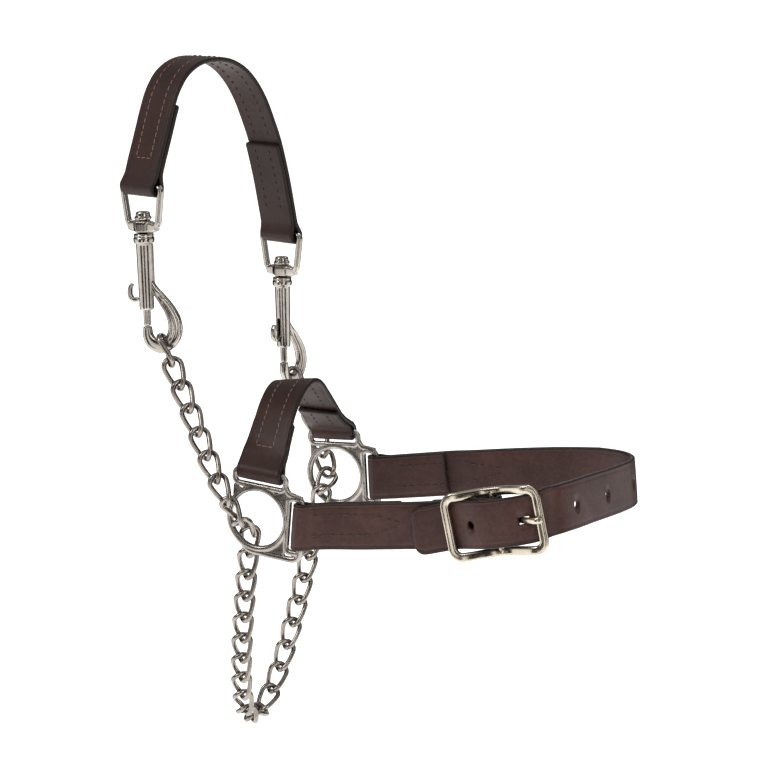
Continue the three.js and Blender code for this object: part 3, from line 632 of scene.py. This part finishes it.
def on_crown_single(w):
    def f(s):
        p = crown_at(*crown.at(s, OFF - PLY / 2 - 0.02), w)
        q = crown_at(*crown.at(s, OFF - PLY / 2 - 1.0), w)
        return p, unit(q - p)
    return f


inner_rows += [track(on_crown_single(w), 50, T - 59, 4.6) for w in (-5.6, 5.6)]
ob = stitches("crown_stitching_inside", inner_rows, length=2.6, r=0.36, sink=0.12, jitter=5)
finish_piece(ob, THREAD_DARK, "headstraps", [])

# jaw strap
PLATE_Y, BAR_OFF, NEAR_PITCH, FAR_PITCH = 50.5, 26.0, -5, 3


def plate_at(x, z, pitch, y):
    c, s = math.cos(rad(pitch)), math.sin(rad(pitch))
    return V(x * c - z * s, y, x * s + z * c)


jawN, jawF = plate_at(0, BAR_OFF, NEAR_PITCH, -PLATE_Y), plate_at(0, BAR_OFF, FAR_PITCH, PLATE_Y)
jaw = Planar([(-PLATE_Y, jawN[2]), (-47.4, 31.4), (-42.6, 36.6), (-33.7, 47.6), (-25.1, 57), (-14.5, 63.8), (-5.4, 65.4),
              (3.4, 62.8), (14, 55), (31, 41.4), (38.5, 35.6), (44.4, 32.2), (48.4, 29.4), (PLATE_Y, jawF[2])], 1)
jaw_twist = table([(0.08, 0), (0.14, 7), (0.25, 12), (0.5, 8.5), (0.68, 2), (0.82, -4), (0.92, 0)])
T = jaw.total
line = ([(30, -OFF)] + plain(30, 9, -OFF, 6) + fold_line(0, -1, FOLD_R, OFF, 30)[1:] + plain(9, T - 9, OFF, 6)
        + fold_line(T, 1, FOLD_R, OFF, 30)[:-1] + plain(T - 9, T - 30, -OFF, 6) + [(T - 30, -OFF)])
jaw_x = lambda y: jawN[0] + (jawF[0] - jawN[0]) * (y + PLATE_Y) / (2 * PLATE_Y)


def jaw_h(p):
    f = min(1, max(0, (p[1] + PLATE_Y) / (2 * PLATE_Y)))
    a = rad(NEAR_PITCH + (FAR_PITCH - NEAR_PITCH) * f)
    s = jaw.find(p[1], p[2])
    k = rad(jaw_twist(s / jaw.total))
    n = unit(jaw.at(s, 1) - jaw.at(s, 0))
    return unit(V(math.cos(a), 0, math.sin(a)) * math.cos(k) + V(0, n[0], n[1]) * math.sin(k))


def jaw_at(s, n, w=0.0):
    p = jaw.at(s, n)
    q = V(jaw_x(p[0]), p[0], p[1])
    return q + jaw_h(q) * w


mids = [jaw_at(s, n) for s, n in line]
ob = strap("jaw_leather", mids, jaw_h)
finish_piece(ob, LEATHER_DARK, "headstraps", ["jaw_strap"])


def on_jaw(w, side, off=None):
    def f(s):
        o = side * (OFF + PLY / 2 + 0.02) if off is None else off
        p = jaw_at(s, o, w); q = jaw_at(s, o + side, w)
        return p, unit(q - p)
    return f


rows = [track(on_jaw(w, 1), 14.5, T - 14.5, 3.7) for w in (-5.8, 4.6)]
for e in (14.0, T - 14.0):
    rows.append(track(lambda w, e=e: on_jaw(w, 1)(e), -5.8, 4.6, 3.4))
ob = stitches("jaw_stitching", rows, length=3.2, r=0.28, jitter=9)
finish_piece(ob, THREAD, "headstraps", [])
rows = [track(on_jaw(w, -1), 14.5, 28, 4.7) for w in (-5, 5)] + [track(on_jaw(w, -1), T - 28, T - 14.5, 4.7) for w in (-5, 5)]
rows += [track(on_jaw(w, -1, OFF - PLY / 2 - 0.02), 33, T - 33, 4.7) for w in (-5, 5)]
ob = stitches("jaw_stitching_inside", rows, length=2.6, r=0.36, sink=0.12, jitter=10)
finish_piece(ob, THREAD_DARK, "headstraps", [])

# noseband surface
nearZ = table([(20, -1.6), (26, -1.6), (30, -1.3), (36, -0.2), (45, 1.2), (60, 3.0), (71, 4.5), (95, 7.8), (111, 10.3), (137, 15.5),
               (150, 18.2), (158, 20.0), (163, 22.0), (167, 23.7), (173, 25.1), (180, 25.6), (190, 25.4)])
farZ = table([(20, 1.1), (26, 1.4), (34, 2.0), (76, 9.0), (107, 13.6), (137, 18.0), (163, 21.3), (175, 21.8), (190, 22.2)])
nearLean = table([(26, 5), (45, 0), (70, -7), (111, -11), (137, -12.1), (163, -12), (175, -8), (190, -5)])
farLean = table([(26, -3), (60, -7.5), (107, -8.5), (163, -9), (190, -5)])
nose_mix = lambda y: min(1, max(0, (y + PLATE_Y) / (2 * PLATE_Y)))
nose_z = lambda x, y: nearZ(x) * (1 - nose_mix(y)) + farZ(x) * nose_mix(y)


def nose_h(p):
    m = nose_mix(p[1])
    a = rad(nearLean(p[0]) * (1 - m) + farLean(p[0]) * m)
    return V(math.sin(a), 0, math.cos(a))


nose_at = lambda q: V(q[0], q[1], nose_z(q[0], q[1]))
BUCKLE = V(139.2, -54.8, nose_z(139.2, -54.8) - 0.4)
BT = rad(12.3)
bS, bH, bN = V(math.cos(BT), 0, math.sin(BT)), V(-math.sin(BT), 0, math.cos(BT)), V(0, -1, 0)
buckle_at = lambda s, n, h=0.0: BUCKLE + bS * s + bN * n + bH * h
barNear, barFar = plate_at(BAR_OFF, 0, NEAR_PITCH, -PLATE_Y), plate_at(BAR_OFF, 0, FAR_PITCH, PLATE_Y)

# buckle strap
near = Planar([(barNear[0], -PLATE_Y), (45, -50.8), (70, -51.2), (95, -51.5), (113, -51.8), (122, -52.65), (131, -54.35), (BUCKLE[0], BUCKLE[1])], -1)
T = near.total
line = ([(60, -OFF)] + plain(60, 9, -OFF, 8) + fold_line(0, -1, FOLD_R, OFF, 60)[1:] + plain(9, T - 9, OFF, 7)
        + fold_line(T, 1, BUCKLE_FOLD_R, OFF, 36)[:-1] + plain(T - 9, T - 36, -OFF, 7) + [(T - 36, -OFF)])
ob = strap("noseband_near_leather", [nose_at(near.at(s, n)) for s, n in line], nose_h)
boolean(ob, box_mesh(buckle_at(0.8, 0, 0), (6, 8, 2.7), np.array([bS, bN, bH])))
finish_piece(ob, LEATHER, "headstraps", ["noseband_buckle_strap"])


def on_band(curve, side, h_of_s, off):
    def f(s):
        h = h_of_s(s)
        p = nose_at(curve.at(s, off)); q = nose_at(curve.at(s, off + side))
        hh = nose_h(p)
        return p + hh * h, unit(q - p)
    return f


nx = lambda x: near.find(x, -51)
o = OFF + PLY / 2 + 0.02
s0, s1, s2 = nx(33), nx(70), nx(86)
upper = lambda s: float(np.interp(s, [s0, s1, s2], [6.6, 6.4, 1.6]))
lower = lambda s: float(np.interp(s, [s0, s1, s2], [-4.6, -4.4, 0.4]))
rows = [track(on_band(near, 1, upper, o), s0, s2, 4.9), track(on_band(near, 1, lower, o), s0, s2 - 2, 4.9)]
ob = stitches("noseband_near_stitching", rows, length=3.6, r=0.46, sink=0.16, jitter=21)
finish_piece(ob, THREAD_DARK, "headstraps", [])
rows = [track(on_band(near, -1, upper, -o), s0, s1, 4.9), track(on_band(near, -1, lower, -o), s0, s1, 4.9)]
ob = stitches("noseband_near_stitching_inside", rows, length=2.8, r=0.4, sink=0.14, jitter=22)
finish_piece(ob, THREAD_DARK, "headstraps", [])

# billet
billet = Planar([(93, -55.8), (105, -56.0), (114, -56.15), (118, -56.55), (123.2, -58.05), (130.2, -60.3), (135.2, -61.2), (142.7, -61.2),
                 (149, -60.2), (156, -58.1), (163, -55.4), (170, -50.6), (174.6, -42), (178.6, -28), (183, -12), (186.8, 4),
                 (188.4, 16), (186.8, 27), (180, 36), (168, 42.2), (153, 46.2), (135, 48.6), (115, 50.2), (90, 50.6),
                 (60, 50.5), (barFar[0], PLATE_Y)], -1)
tip_drop = table([(93, 2.8), (99, 2.4), (105, 1.5), (112, 0.5), (118, 0)])
billet_mid = lambda q: nose_at(q) - Z3 * (tip_drop(q[0]) if q[1] < -54 else 0)
T = billet.total
BACK = 56
sb = T - BACK
sstep = lambda s: (lambda t: t * t * (3 - 2 * t))(min(1, max(0, (s - (sb - 6)) / 16)))
line = ([(0, 0)] + plain(0, sb - 6, 0, 4) + [(sb - 6, 0)] + [(s, OFF * sstep(s)) for s, _ in plain(sb - 6, T - 9, 0, 5)]
        + fold_line(T, 1, FOLD_R, OFF, BACK - 12)[:-1] + plain(T - 9, T - BACK + 12, -OFF, 7) + [(T - BACK + 12, -OFF)])
tip_w = table([(0, 7.3), (0.5, 9.0), (1.2, 10.3), (2.4, 11.6), (4.0, 12.4), (6.0, 12.7)])
ob = strap("noseband_billet_leather", [billet_mid(billet.at(s, n)) for s, n in line], nose_h, width_at=lambda s, L: tip_w(s))
s1h = billet.find(155.6, -58.2)
tools = []
for s in [s1h - 29, s1h + 29, s1h + 58, s1h + 87, s1h + 116]:
    p = billet_mid(billet.at(s)); q = billet_mid(billet.at(s + 0.5))
    t = unit(q - p); h = nose_h(p); n = unit(np.cross(t, h))
    tools.append(cylinder(p - n * 6, p + n * 6, 2.35, 28))
tools.append(box_mesh(buckle_at(16.2, 4.3, 0), (3.0, 6, 2.05), np.array([bS, bN, bH])))
boolean(ob, join(tools))
finish_piece(ob, LEATHER, "headstraps", ["noseband_billet"])
fb = lambda x: billet.find(x, 50.5)
up_t = lambda x: float(np.interp(x, [31, 80, 106], [6.6, 6.2, 0.8]))
lo_t = lambda x: float(np.interp(x, [31, 80, 106], [-5.4, -6.0, -0.8]))


def on_billet(side, sign):
    def f(s):
        q0 = billet.at(s)
        k = OFF * sstep(s)
        off = k + PLY / 2 + 0.02 if side > 0 else (-(OFF + PLY / 2 + 0.02) if s > T - BACK + 12 else k - PLY / 2 - 0.02)
        p = nose_at(billet.at(s, off)); q = nose_at(billet.at(s, off + side))
        h = up_t(q0[0]) if sign > 0 else lo_t(q0[0])
        return p + nose_h(p) * h, unit(q - p)
    return f


rows = [track(on_billet(sd, sg), T - 7.0 - 8, fb(104), 4.9) for sd in (1, -1) for sg in (1, -1)]
ob = stitches("noseband_far_stitching", rows, length=3.5, r=0.44, sink=0.14, jitter=31)
finish_piece(ob, THREAD_DARK, "headstraps", [])


# ------------------------------------------------------------------ cheek plates
def plate_mesh():
    parts = []
    c = lambda pts: np.array([(x, 0, z) for x, z in pts])
    side = lambda i, p: Y3
    ring = [(17.0 * math.cos(a), 17.0 * math.sin(a)) for a in np.linspace(0, 2 * math.pi, 96, endpoint=False)]
    parts.append(sweep(c(ring), side, 1.75, 1.72, 20, True, 2.5))
    # jaw slot frame with raised round ears
    ear = rounded_poly([(-15.15, 18.0, 3.0), (-15.15, 25.85, 3.0), (15.15, 25.85, 3.0), (15.15, 18.0, 3.0)], 10)
    ear = resample(ear, step=0.6, closed=True)
    parts.append(sweep(c(ear), side, 1.6, 1.62, 18, True, 2.2))
    # side slot frame
    fr = rounded_poly([(18.0, 15.2, 2.6), (26.15, 15.2, 3.0), (26.15, -15.2, 2.6), (18.0, -15.2, 2.6)], 10)
    fr = resample(fr, step=0.6, closed=True)
    parts.append(sweep(c(fr), side, 1.6, 1.62, 18, True, 2.2))
    # bottom bar, running off the ring's foot to the lower right corner
    bar = catmull([(-9, -14.6), (-4, -18.3), (4, -19.0), (14, -19.1), (22, -19.0), (25.2, -17.6), (26.2, -13)], 16)
    bar = resample(bar, step=0.6)
    parts.append(sweep(c(bar), side, 1.65, 1.75, 18, False, 2.3))
    # web cast between ring, slots and bottom bar, a little thinner than the rims
    def slab(poly, half):
        tri = geometry.tessellate_polygon([[Vector((x, z, 0)) for x, z in poly]])
        n = len(poly)
        v = [(x, -half, z) for x, z in poly] + [(x, half, z) for x, z in poly]
        f = [tuple(t) for t in tri] + [tuple(i + n for i in reversed(t)) for t in tri]
        f += [(i, (i + 1) % n, n + (i + 1) % n, n + i) for i in range(n)]
        return np.array(v), f
    arc = lambda a0, a1, k, r=16.6: [(r * math.cos(rad(a)), r * math.sin(rad(a))) for a in np.linspace(a0, a1, k)]
    parts.append(slab(arc(-100, -8, 20) + [(17.2, -10), (17.2, -19.5), (4, -19.5)], 1.15))
    parts.append(slab(arc(8, 62, 14) + [(15.2, 17.8), (17.2, 15.6), (17.2, 8)], 1.2))
    parts.append(slab(arc(122, 160, 10) + [(-15.4, 12.0), (-15.4, 17.0)], 1.2))
    parts.append(slab(arc(62, 118, 12) + [(-9, 17.2), (9, 17.2)], 1.2))
    # swept foot where the ear runs down to the side slot
    foot = catmull([(15.15, 24.5), (15.4, 20.6), (17.6, 17.4), (21.5, 16.4), (25.6, 15.6)], 12)
    parts.append(sweep(c(resample(foot, step=0.6)), side, 1.6, 1.55, 16, False, 2.2))
    return join(parts)


def cheek_plate(name, y, pitch, node):
    v, f = plate_mesh()
    ob = new_object(name, v, f)
    cast(ob, 0.3, 4)
    M = Matrix.Translation((0, y * MM, 0)) @ Matrix.Rotation(rad(-pitch), 4, "Y")
    ob.data.transform(M)
    return finish_piece(ob, NICKEL_PLATE, "headstraps", [node])


cheek_plate("near_cheek_casting", -PLATE_Y, NEAR_PITCH, "near_cheek_plate")
cheek_plate("far_cheek_casting", PLATE_Y, FAR_PITCH, "far_cheek_plate")

# ------------------------------------------------------------------ buckle
BK_L, BK_H, DISH = 25.2, 15.9, 4.7
poly = rounded_poly([(BK_L, BK_H, 5), (BK_L, -BK_H, 5), (-BK_L, -BK_H, 5), (-BK_L, BK_H, 5)], 12)
poly = resample(poly, step=0.7, closed=True)
dish = lambda s: (lambda t: DISH * t * t * (3 - 2 * t))(min(1, max(0, (abs(s) - 3) / 18)))
path = [buckle_at(x, dish(x), z) for x, z in poly]
v1 = sweep(path, lambda i, p: bN, 1.7, 2.35, 28, True, 3.0, shape=lambda i, c, s: (c * (1 - 0.10 * s if c > 0 else 1), s))
v2 = cylinder(buckle_at(0, 0, -BK_H), buckle_at(0, 0, BK_H), 1.8, 24)
ob = new_object("buckle_casting", *join([v1, v2]))
cast(ob, 0.28, 3)
finish_piece(ob, WARM, "headstraps", ["buckle_frame"])

ringp = [buckle_at(3.2 * math.cos(a), 3.2 * math.sin(a)) for a in np.linspace(0, 2 * math.pi, 40, endpoint=False)]
r1 = sweep(ringp, lambda i, p: bH, 2.0, 1.05, 16, True, 2.6)
sh = catmull([buckle_at(*q) for q in [(3.1, 0), (7, 0.3), (11, 1.2), (14.5, 2.7), (17.5, 4.6), (20.3, 6.4), (23, 7.7), (25.4, 8.1), (27.6, 7.7)]], 8)
L = len(sh) - 1
r2 = sweep(sh, lambda i, p: bH, lambda i: 1.78 * (1 - 0.42 * max(0, (i / L - 0.84) / 0.16) ** 2), lambda i: 1.18 * (1 - 0.42 * max(0, (i / L - 0.84) / 0.16) ** 2), 18, False, 2.2)
ob = new_object("prong_casting", *join([r1, r2]))
cast(ob, 0.2, 4)
finish_piece(ob, WARM, "buckle_prong", ["buckle_prong"])


# ------------------------------------------------------------------ bolt snaps
def snap(prefix, origin, tilt, hook):
    R_place = rot((0, 0, 1), -CROWN_YAW) @ rot((0, 1, 0), tilt)
    R_spin = rot((0, 0, 1), hook + CROWN_YAW)

    def put(ob, spin=False):
        R = R_place @ R_spin if spin else R_place
        M = Matrix.Identity(4)
        for i in range(3):
            for j in range(3):
                M[i][j] = R[i, j]
            M[i][3] = origin[i] * MM
        ob.data.transform(M)
        return ob
    side = lambda i, p: Y3
    # bow: flat bevelled legs on a deeper yoke, with the swivel's boss in the middle
    bow = rounded_poly([(-15.2, 0, 2.2), (15.2, 0, 2.2), (11.6, -21.2, 4.2), (-11.6, -21.2, 4.2)], 10)
    bow = resample(bow, step=0.5, closed=True)
    wires = sweep([(x, 0, z) for x, z in bow], side, 1.75, 1.6, 20, True, 3.0)
    yoke_rings = []
    for x in np.linspace(-11.2, 11.2, 40):
        k = 1 - (abs(x) / 11.2) ** 3
        hz = 1.9 + 1.6 * k
        zc = -21.4
        yoke_rings.append([(x, 2.15 * math.copysign(abs(math.cos(q)) ** 0.6, math.cos(q)) * (0.8 + 0.2 * k), zc + hz * math.copysign(abs(math.sin(q)) ** 0.6, math.sin(q)))
                           for q in np.linspace(0, 2 * math.pi, 20, endpoint=False)])
    yoke = loft(yoke_rings)
    boss = lathe([(0, -24.6), (4.5, -24.6), (5.6, -23.8), (5.85, -22.0), (5.85, -20.0), (5.6, -18.6), (4.6, -17.9), (0, -17.9)], 6)
    boss = (boss[0] @ rot((0, 0, 1), 30).T, boss[1])
    ob = new_object(prefix + "_bow_casting", *join([wires, yoke, boss]))
    cast(ob, 0.26, 3)
    boolean(ob, cylinder((0, 0, -27), (0, 0, -15), 2.4, 32))
    put(ob)
    finish_piece(ob, NICKEL, prefix + "_snap_bow", [prefix + "_snap_bow"])
    # body: stud, collar, barrel and hook
    prof = [(0, -66.6), (3.3, -66.6), (3.75, -66.2), (4.0, -65.2), (4.2, -52), (4.35, -40), (4.45, -31.2), (4.75, -30.4), (5.5, -29.9),
            (5.75, -29.0), (5.75, -27.6), (5.3, -26.9), (5.3, -26.4), (5.55, -26.0), (5.3, -25.3), (4.6, -25.0), (1.9, -25.0), (1.9, -17.6), (4.2, -17.6), (4.7, -17.1),
            (4.7, -16.2), (4.0, -15.7), (3.9, -14.2), (3.5, -13.4), (1.9, -13.1), (0, -13.1)]
    ob = new_object(prefix + "_body_casting", *lathe(prof, 56))
    ob_tool = join([cylinder((0, 0, -70), (0, 0, -40), 2.45, 32)])
    boolean(ob, ob_tool)
    boolean(ob, box_mesh((-4.6, 0, -55.9), (3.0, 1.5, 6.8)))
    boolean(ob, box_mesh((-4.75, 0, -40.0), (0.55, 0.32, 8.4)))
    hp = [(3.0, -51, 1.2), (4.9, -55.4, 2.0), (8.9, -61.0, 2.7), (12.9, -67.0, 3.3), (15.2, -73, 3.8), (15.3, -78.6, 4.0),
          (12.6, -84, 3.95), (7.2, -86.8, 3.85), (2.4, -85, 3.5), (0.3, -81.4, 3.0), (0, -78.6, 2.7), (0, -75.9, 2.3)]
    pts = catmull([(a, b, c) for a, b, c in hp], 9)
    q = np.linspace(0, 11, len(pts))
    wid = np.interp(q, [0, 1, 2, 4, 5.5, 6.5, 9, 11], [1.9, 2.2, 2.6, 2.65, 2.3, 1.85, 2.3, 2.4])
    dent = np.interp(q, [0, 1.2, 2.2, 5.6, 6.6, 11], [0, 0, 0.42, 0.42, 0, 0])

    def sec(i, c, s):
        return c * (1 - dent[i] * math.exp(-(s / 0.42) ** 2)), s
    hook_m = sweep([(a, 0, b) for a, b, _ in pts], side, lambda i: wid[i], lambda i: pts[i][2], 40, False, 2.3, shape=sec)
    fin = sweep([(4.2, 0, z) for z in np.linspace(-58, -31, 20)], side, 0.75, lambda i: 0.9, 12, False, 2.5)
    hv = new_object("hook_tmp", *join([hook_m, fin]))
    fix_normals(hv)
    # carve the well out of the hook's root too, then cast the two together
    boolean(hv, cylinder((0, 0, -72), (0, 0, -40), 2.45, 32))
    v = np.array([w.co[:] for w in ob.data.vertices]) / MM
    f = [tuple(p.vertices) for p in ob.data.polygons]
    v2 = np.array([w.co[:] for w in hv.data.vertices]) / MM
    f2 = [tuple(p.vertices) for p in hv.data.polygons]
    bpy.data.objects.remove(hv); bpy.data.objects.remove(ob)
    ob = new_object(prefix + "_body_casting", *join([(v, f), (v2, f2)]))
    cast(ob, 0.25, 3)
    put(ob, True)
    finish_piece(ob, NICKEL, prefix + "_snap_body", [prefix + "_snap_body"])
    # bolt with its curled thumb lever
    rod = lathe([(0, -75.3), (1.5, -75.3), (1.9, -74.9), (2.05, -74.2), (2.05, -49.9), (1.7, -49.4), (0, -49.4)], 32)
    lv = catmull([(-0.6, 0, -60.4), (-3.6, 0, -60.7), (-5.8, 0, -61.2), (-7.6, 0, -60.9), (-8.8, 0, -59.2), (-9.0, 0, -56.6), (-8.5, 0, -54.2), (-7.5, 0, -52.6)], 10)
    n = len(lv) - 1
    lev = sweep(lv, side, lambda i: 1.15 if i / n < 0.22 else 1.15 + 0.55 * min(1, (i / n - 0.22) / 0.25) * (1 - 0.35 * max(0, (i / n - 0.8) / 0.2)), lambda i: 1.0 + 0.45 * math.sin(math.pi * i / n), 18, False, 2.4)
    ob = new_object(prefix + "_bolt_casting", *join([rod, lev]))
    cast(ob, 0.2, 3)
    put(ob, True)
    finish_piece(ob, NICKEL, prefix + "_snap_bolt", [prefix + "_snap_bolt"])


snap("near", crown_at(*CN), -1.5, 15)
snap("far", crown_at(*CF), -1.0, 76)

# ------------------------------------------------------------------ chain
LINK_P, WIRE_R, LINK_B = 14.2, 1.42, 4.82
LINK_A = (LINK_P + 2 * WIRE_R + 0.7) / 2


def link(a, b, p0, p1):
    p0, p1 = np.asarray(p0, float), np.asarray(p1, float)
    mid = (p0 + p1) / 2
    t = unit(p1 - p0)
    w0 = unit(X3 - t * t[0])
    m0 = unit(np.cross(t, w0))
    straight, arc = 2 * (LINK_A - LINK_B), math.pi * LINK_B
    total = 2 * straight + 2 * arc
    steps = 72
    pts, refs = [], []
    for i in range(steps):
        d = total * i / steps
        if d < straight:
            x, w = d - straight / 2, LINK_B
        elif d < straight + arc:
            q = (d - straight) / LINK_B; x, w = straight / 2 + LINK_B * math.sin(q), LINK_B * math.cos(q)
        elif d < 2 * straight + arc:
            x, w = straight / 2 - (d - straight - arc), -LINK_B
        else:
            q = (d - 2 * straight - arc) / LINK_B; x, w = -straight / 2 - LINK_B * math.sin(q), -LINK_B * math.cos(q)
        tau = rad(a + (b - a) * (x + LINK_A) / (2 * LINK_A))
        pts.append(mid + t * x + w0 * w * math.cos(tau) + m0 * w * math.sin(tau))
        refs.append(-w0 * math.sin(tau) + m0 * math.cos(tau))
    return sweep(pts, lambda i, p: refs[i], WIRE_R, WIRE_R, 18, True)


S_NEAR = [(-57.82, -48.38, 93.91), (-51.53, -50.22, 81.95), (-45.24, -52.07, 69.99), (-39.01, -53.86, 58), (-32.97, -55.56, 45.81),
          (-26.98, -57.19, 33.67), (-20.28, -59.03, 21.86), (-13.14, -60.23, 10.25), (-7.2, -56.3, -1.4)]
S_CHIN = [(-6.83, -45.95, -8.4), (-9.14, -44.38, -21.81), (-11.46, -42.63, -35.2), (-13.76, -40.68, -48.56), (-16.07, -38.45, -61.88),
          (-18.35, -35.86, -75.14), (-20.63, -32.78, -88.29), (-22.87, -28.98, -101.26), (-25.04, -24.06, -113.86), (-27.06, -17.21, -125.55),
          (-28.59, -6.85, -134.39)]
S_FAR = [(-7.2, 56.3, -1.4), (-13.5, 60.6, 9.01), (-17.57, 61.77, 21.2), (-21.98, 61.35, 33.35), (-26.48, 59.76, 45.37), (-30.86, 57.45, 57.32)]


def put_link(node, a, b, p0, p1, body=None):
    ob = new_object(node + "_wire", *link(a, b, p0, p1))
    fix_normals(ob)
    finish_piece(ob, STEEL, body or node, [node])


for i in range(8):
    r = [0, 0, 0, 0, 0, 5, 12, 22][i]
    put_link("chain_near_%d" % (i + 1), 90 if i == 0 else r - 45, r + 45, S_NEAR[i], S_NEAR[i + 1])
put_link("chain_near_ring", -45 + 12, 45 + 12, S_NEAR[8], S_CHIN[0], "headstraps")
mir = lambda p: (p[0], -p[1], p[2])
for i in range(10):
    r = {0: 4, 1: 2}.get(i, 0)
    put_link("chain_chin_near_%d" % (i + 1), r - 45, r + 45, S_CHIN[i], S_CHIN[i + 1])
    put_link("chain_chin_far_%d" % (i + 1), r - 45, r + 45, mir(S_CHIN[i + 1]), mir(S_CHIN[i]))
put_link("chain_chin_bottom", -45, 45, S_CHIN[10], mir(S_CHIN[10]))
put_link("chain_far_ring", -45 + 8, 45 + 8, mir(S_CHIN[0]), S_FAR[0], "headstraps")
for i in range(5):
    r = {0: 5, 1: 2}.get(i, 0)
    put_link("chain_far_%d" % (i + 1), r - 45, -2 if i == 4 else r + 45, S_FAR[i], S_FAR[i + 1])


# ------------------------------------------------------------------ floor, light
def studio():
    sc = bpy.context.scene
    sc.view_settings.view_transform = "Standard"
    sc.view_settings.look = "None"
    v, f = [(-30000, -30000, -420), (30000, -30000, -420), (30000, 30000, -420), (-30000, 30000, -420)], [(0, 1, 2, 3)]
    fl = new_object("floor", v, f, False)
    m, nt, bs = nodes_of("floor_white")
    bs.inputs["Base Color"].default_value = (0.93, 0.93, 0.93, 1)
    bs.inputs["Roughness"].default_value = 0.9
    bs.inputs["Specular IOR Level"].default_value = 0.0
    bs.inputs["Emission Color"].default_value = (1, 1, 1, 1)
    bs.inputs["Emission Strength"].default_value = 0.92
    fl.data.materials.append(m)
    fl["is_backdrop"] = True
    # dark cards that only reflections see, as round any piece of bright metal
    mc, ntc, bc = nodes_of("card_black")
    bc.inputs["Base Color"].default_value = (0.012, 0.010, 0.009, 1)
    bc.inputs["Roughness"].default_value = 1.0
    bc.inputs["Specular IOR Level"].default_value = 0.0
    for k, (a0, a1, r, z0, z1) in enumerate([(-58, -32, 900, -400, 900), (-14, 8, 950, -400, 700), (32, 62, 900, -400, 900),
                                             (118, 160, 900, -400, 900), (205, 246, 900, -400, 900)]):
        q = []
        for a2 in (a0, a1):
            x, y = r * math.sin(rad(a2 + 23.5)), -r * math.cos(rad(a2 + 23.5))
            q += [(x, y, z0), (x, y, z1)]
        card = new_object("card_%d" % k, q, [(0, 1, 3, 2)], False)
        card.data.materials.append(mc)
        card.visible_camera = False
        card.visible_diffuse = False
        card.visible_shadow = False
        card.visible_transmission = False
        card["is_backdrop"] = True
    w = bpy.data.worlds.new("studio")
    sc.world = w
    w.use_nodes = True
    nt = w.node_tree
    bg = nt.nodes["Background"]
    tc = N(nt, "ShaderNodeTexCoord")
    sep = N(nt, "ShaderNodeSeparateXYZ")
    nt.links.new(tc.outputs["Generated"], sep.inputs[0])
    up = ramp(nt, math_node(nt, "ADD", math_node(nt, "MULTIPLY", sep.outputs["Z"], 0.5), 0.5),
              [(0.0, (0.9, 0.9, 0.9, 1)), (0.49, (1, 1, 1, 1)), (0.53, (0.95, 0.95, 0.95, 1)), (0.60, (0.10, 0.095, 0.09, 1)), (0.70, (0.22, 0.21, 0.20, 1)),
               (0.80, (1.0, 1.0, 1.0, 1)), (1.0, (0.8, 0.8, 0.8, 1))])
    nt.links.new(up, bg.inputs["Color"])
    bg.inputs["Strength"].default_value = 0.62

    def area(loc, target, size, power, name):
        li = bpy.data.lights.new(name, "AREA")
        li.shape = "RECTANGLE"
        li.size, li.size_y = size
        li.energy = power
        o = bpy.data.objects.new(name, li)
        sc.collection.objects.link(o)
        o.location = loc
        o.rotation_euler = (Vector(target) - Vector(loc)).to_track_quat("-Z", "Y").to_euler()
    area((-0.9, -1.3, 1.3), (0.03, 0, 0.05), (0.9, 0.9), 21, "key")
    area((1.3, -0.9, 0.7), (0.05, 0, 0.05), (0.5, 1.2), 9, "side")
    area((0.2, 1.3, 1.2), (0.0, 0, 0.1), (1.2, 0.5), 9, "back")


studio()
vis_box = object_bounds()
{"cad": [list(map(float, c)) for c in cad_box], "visual": [list(map(float, c)) for c in vis_box]}
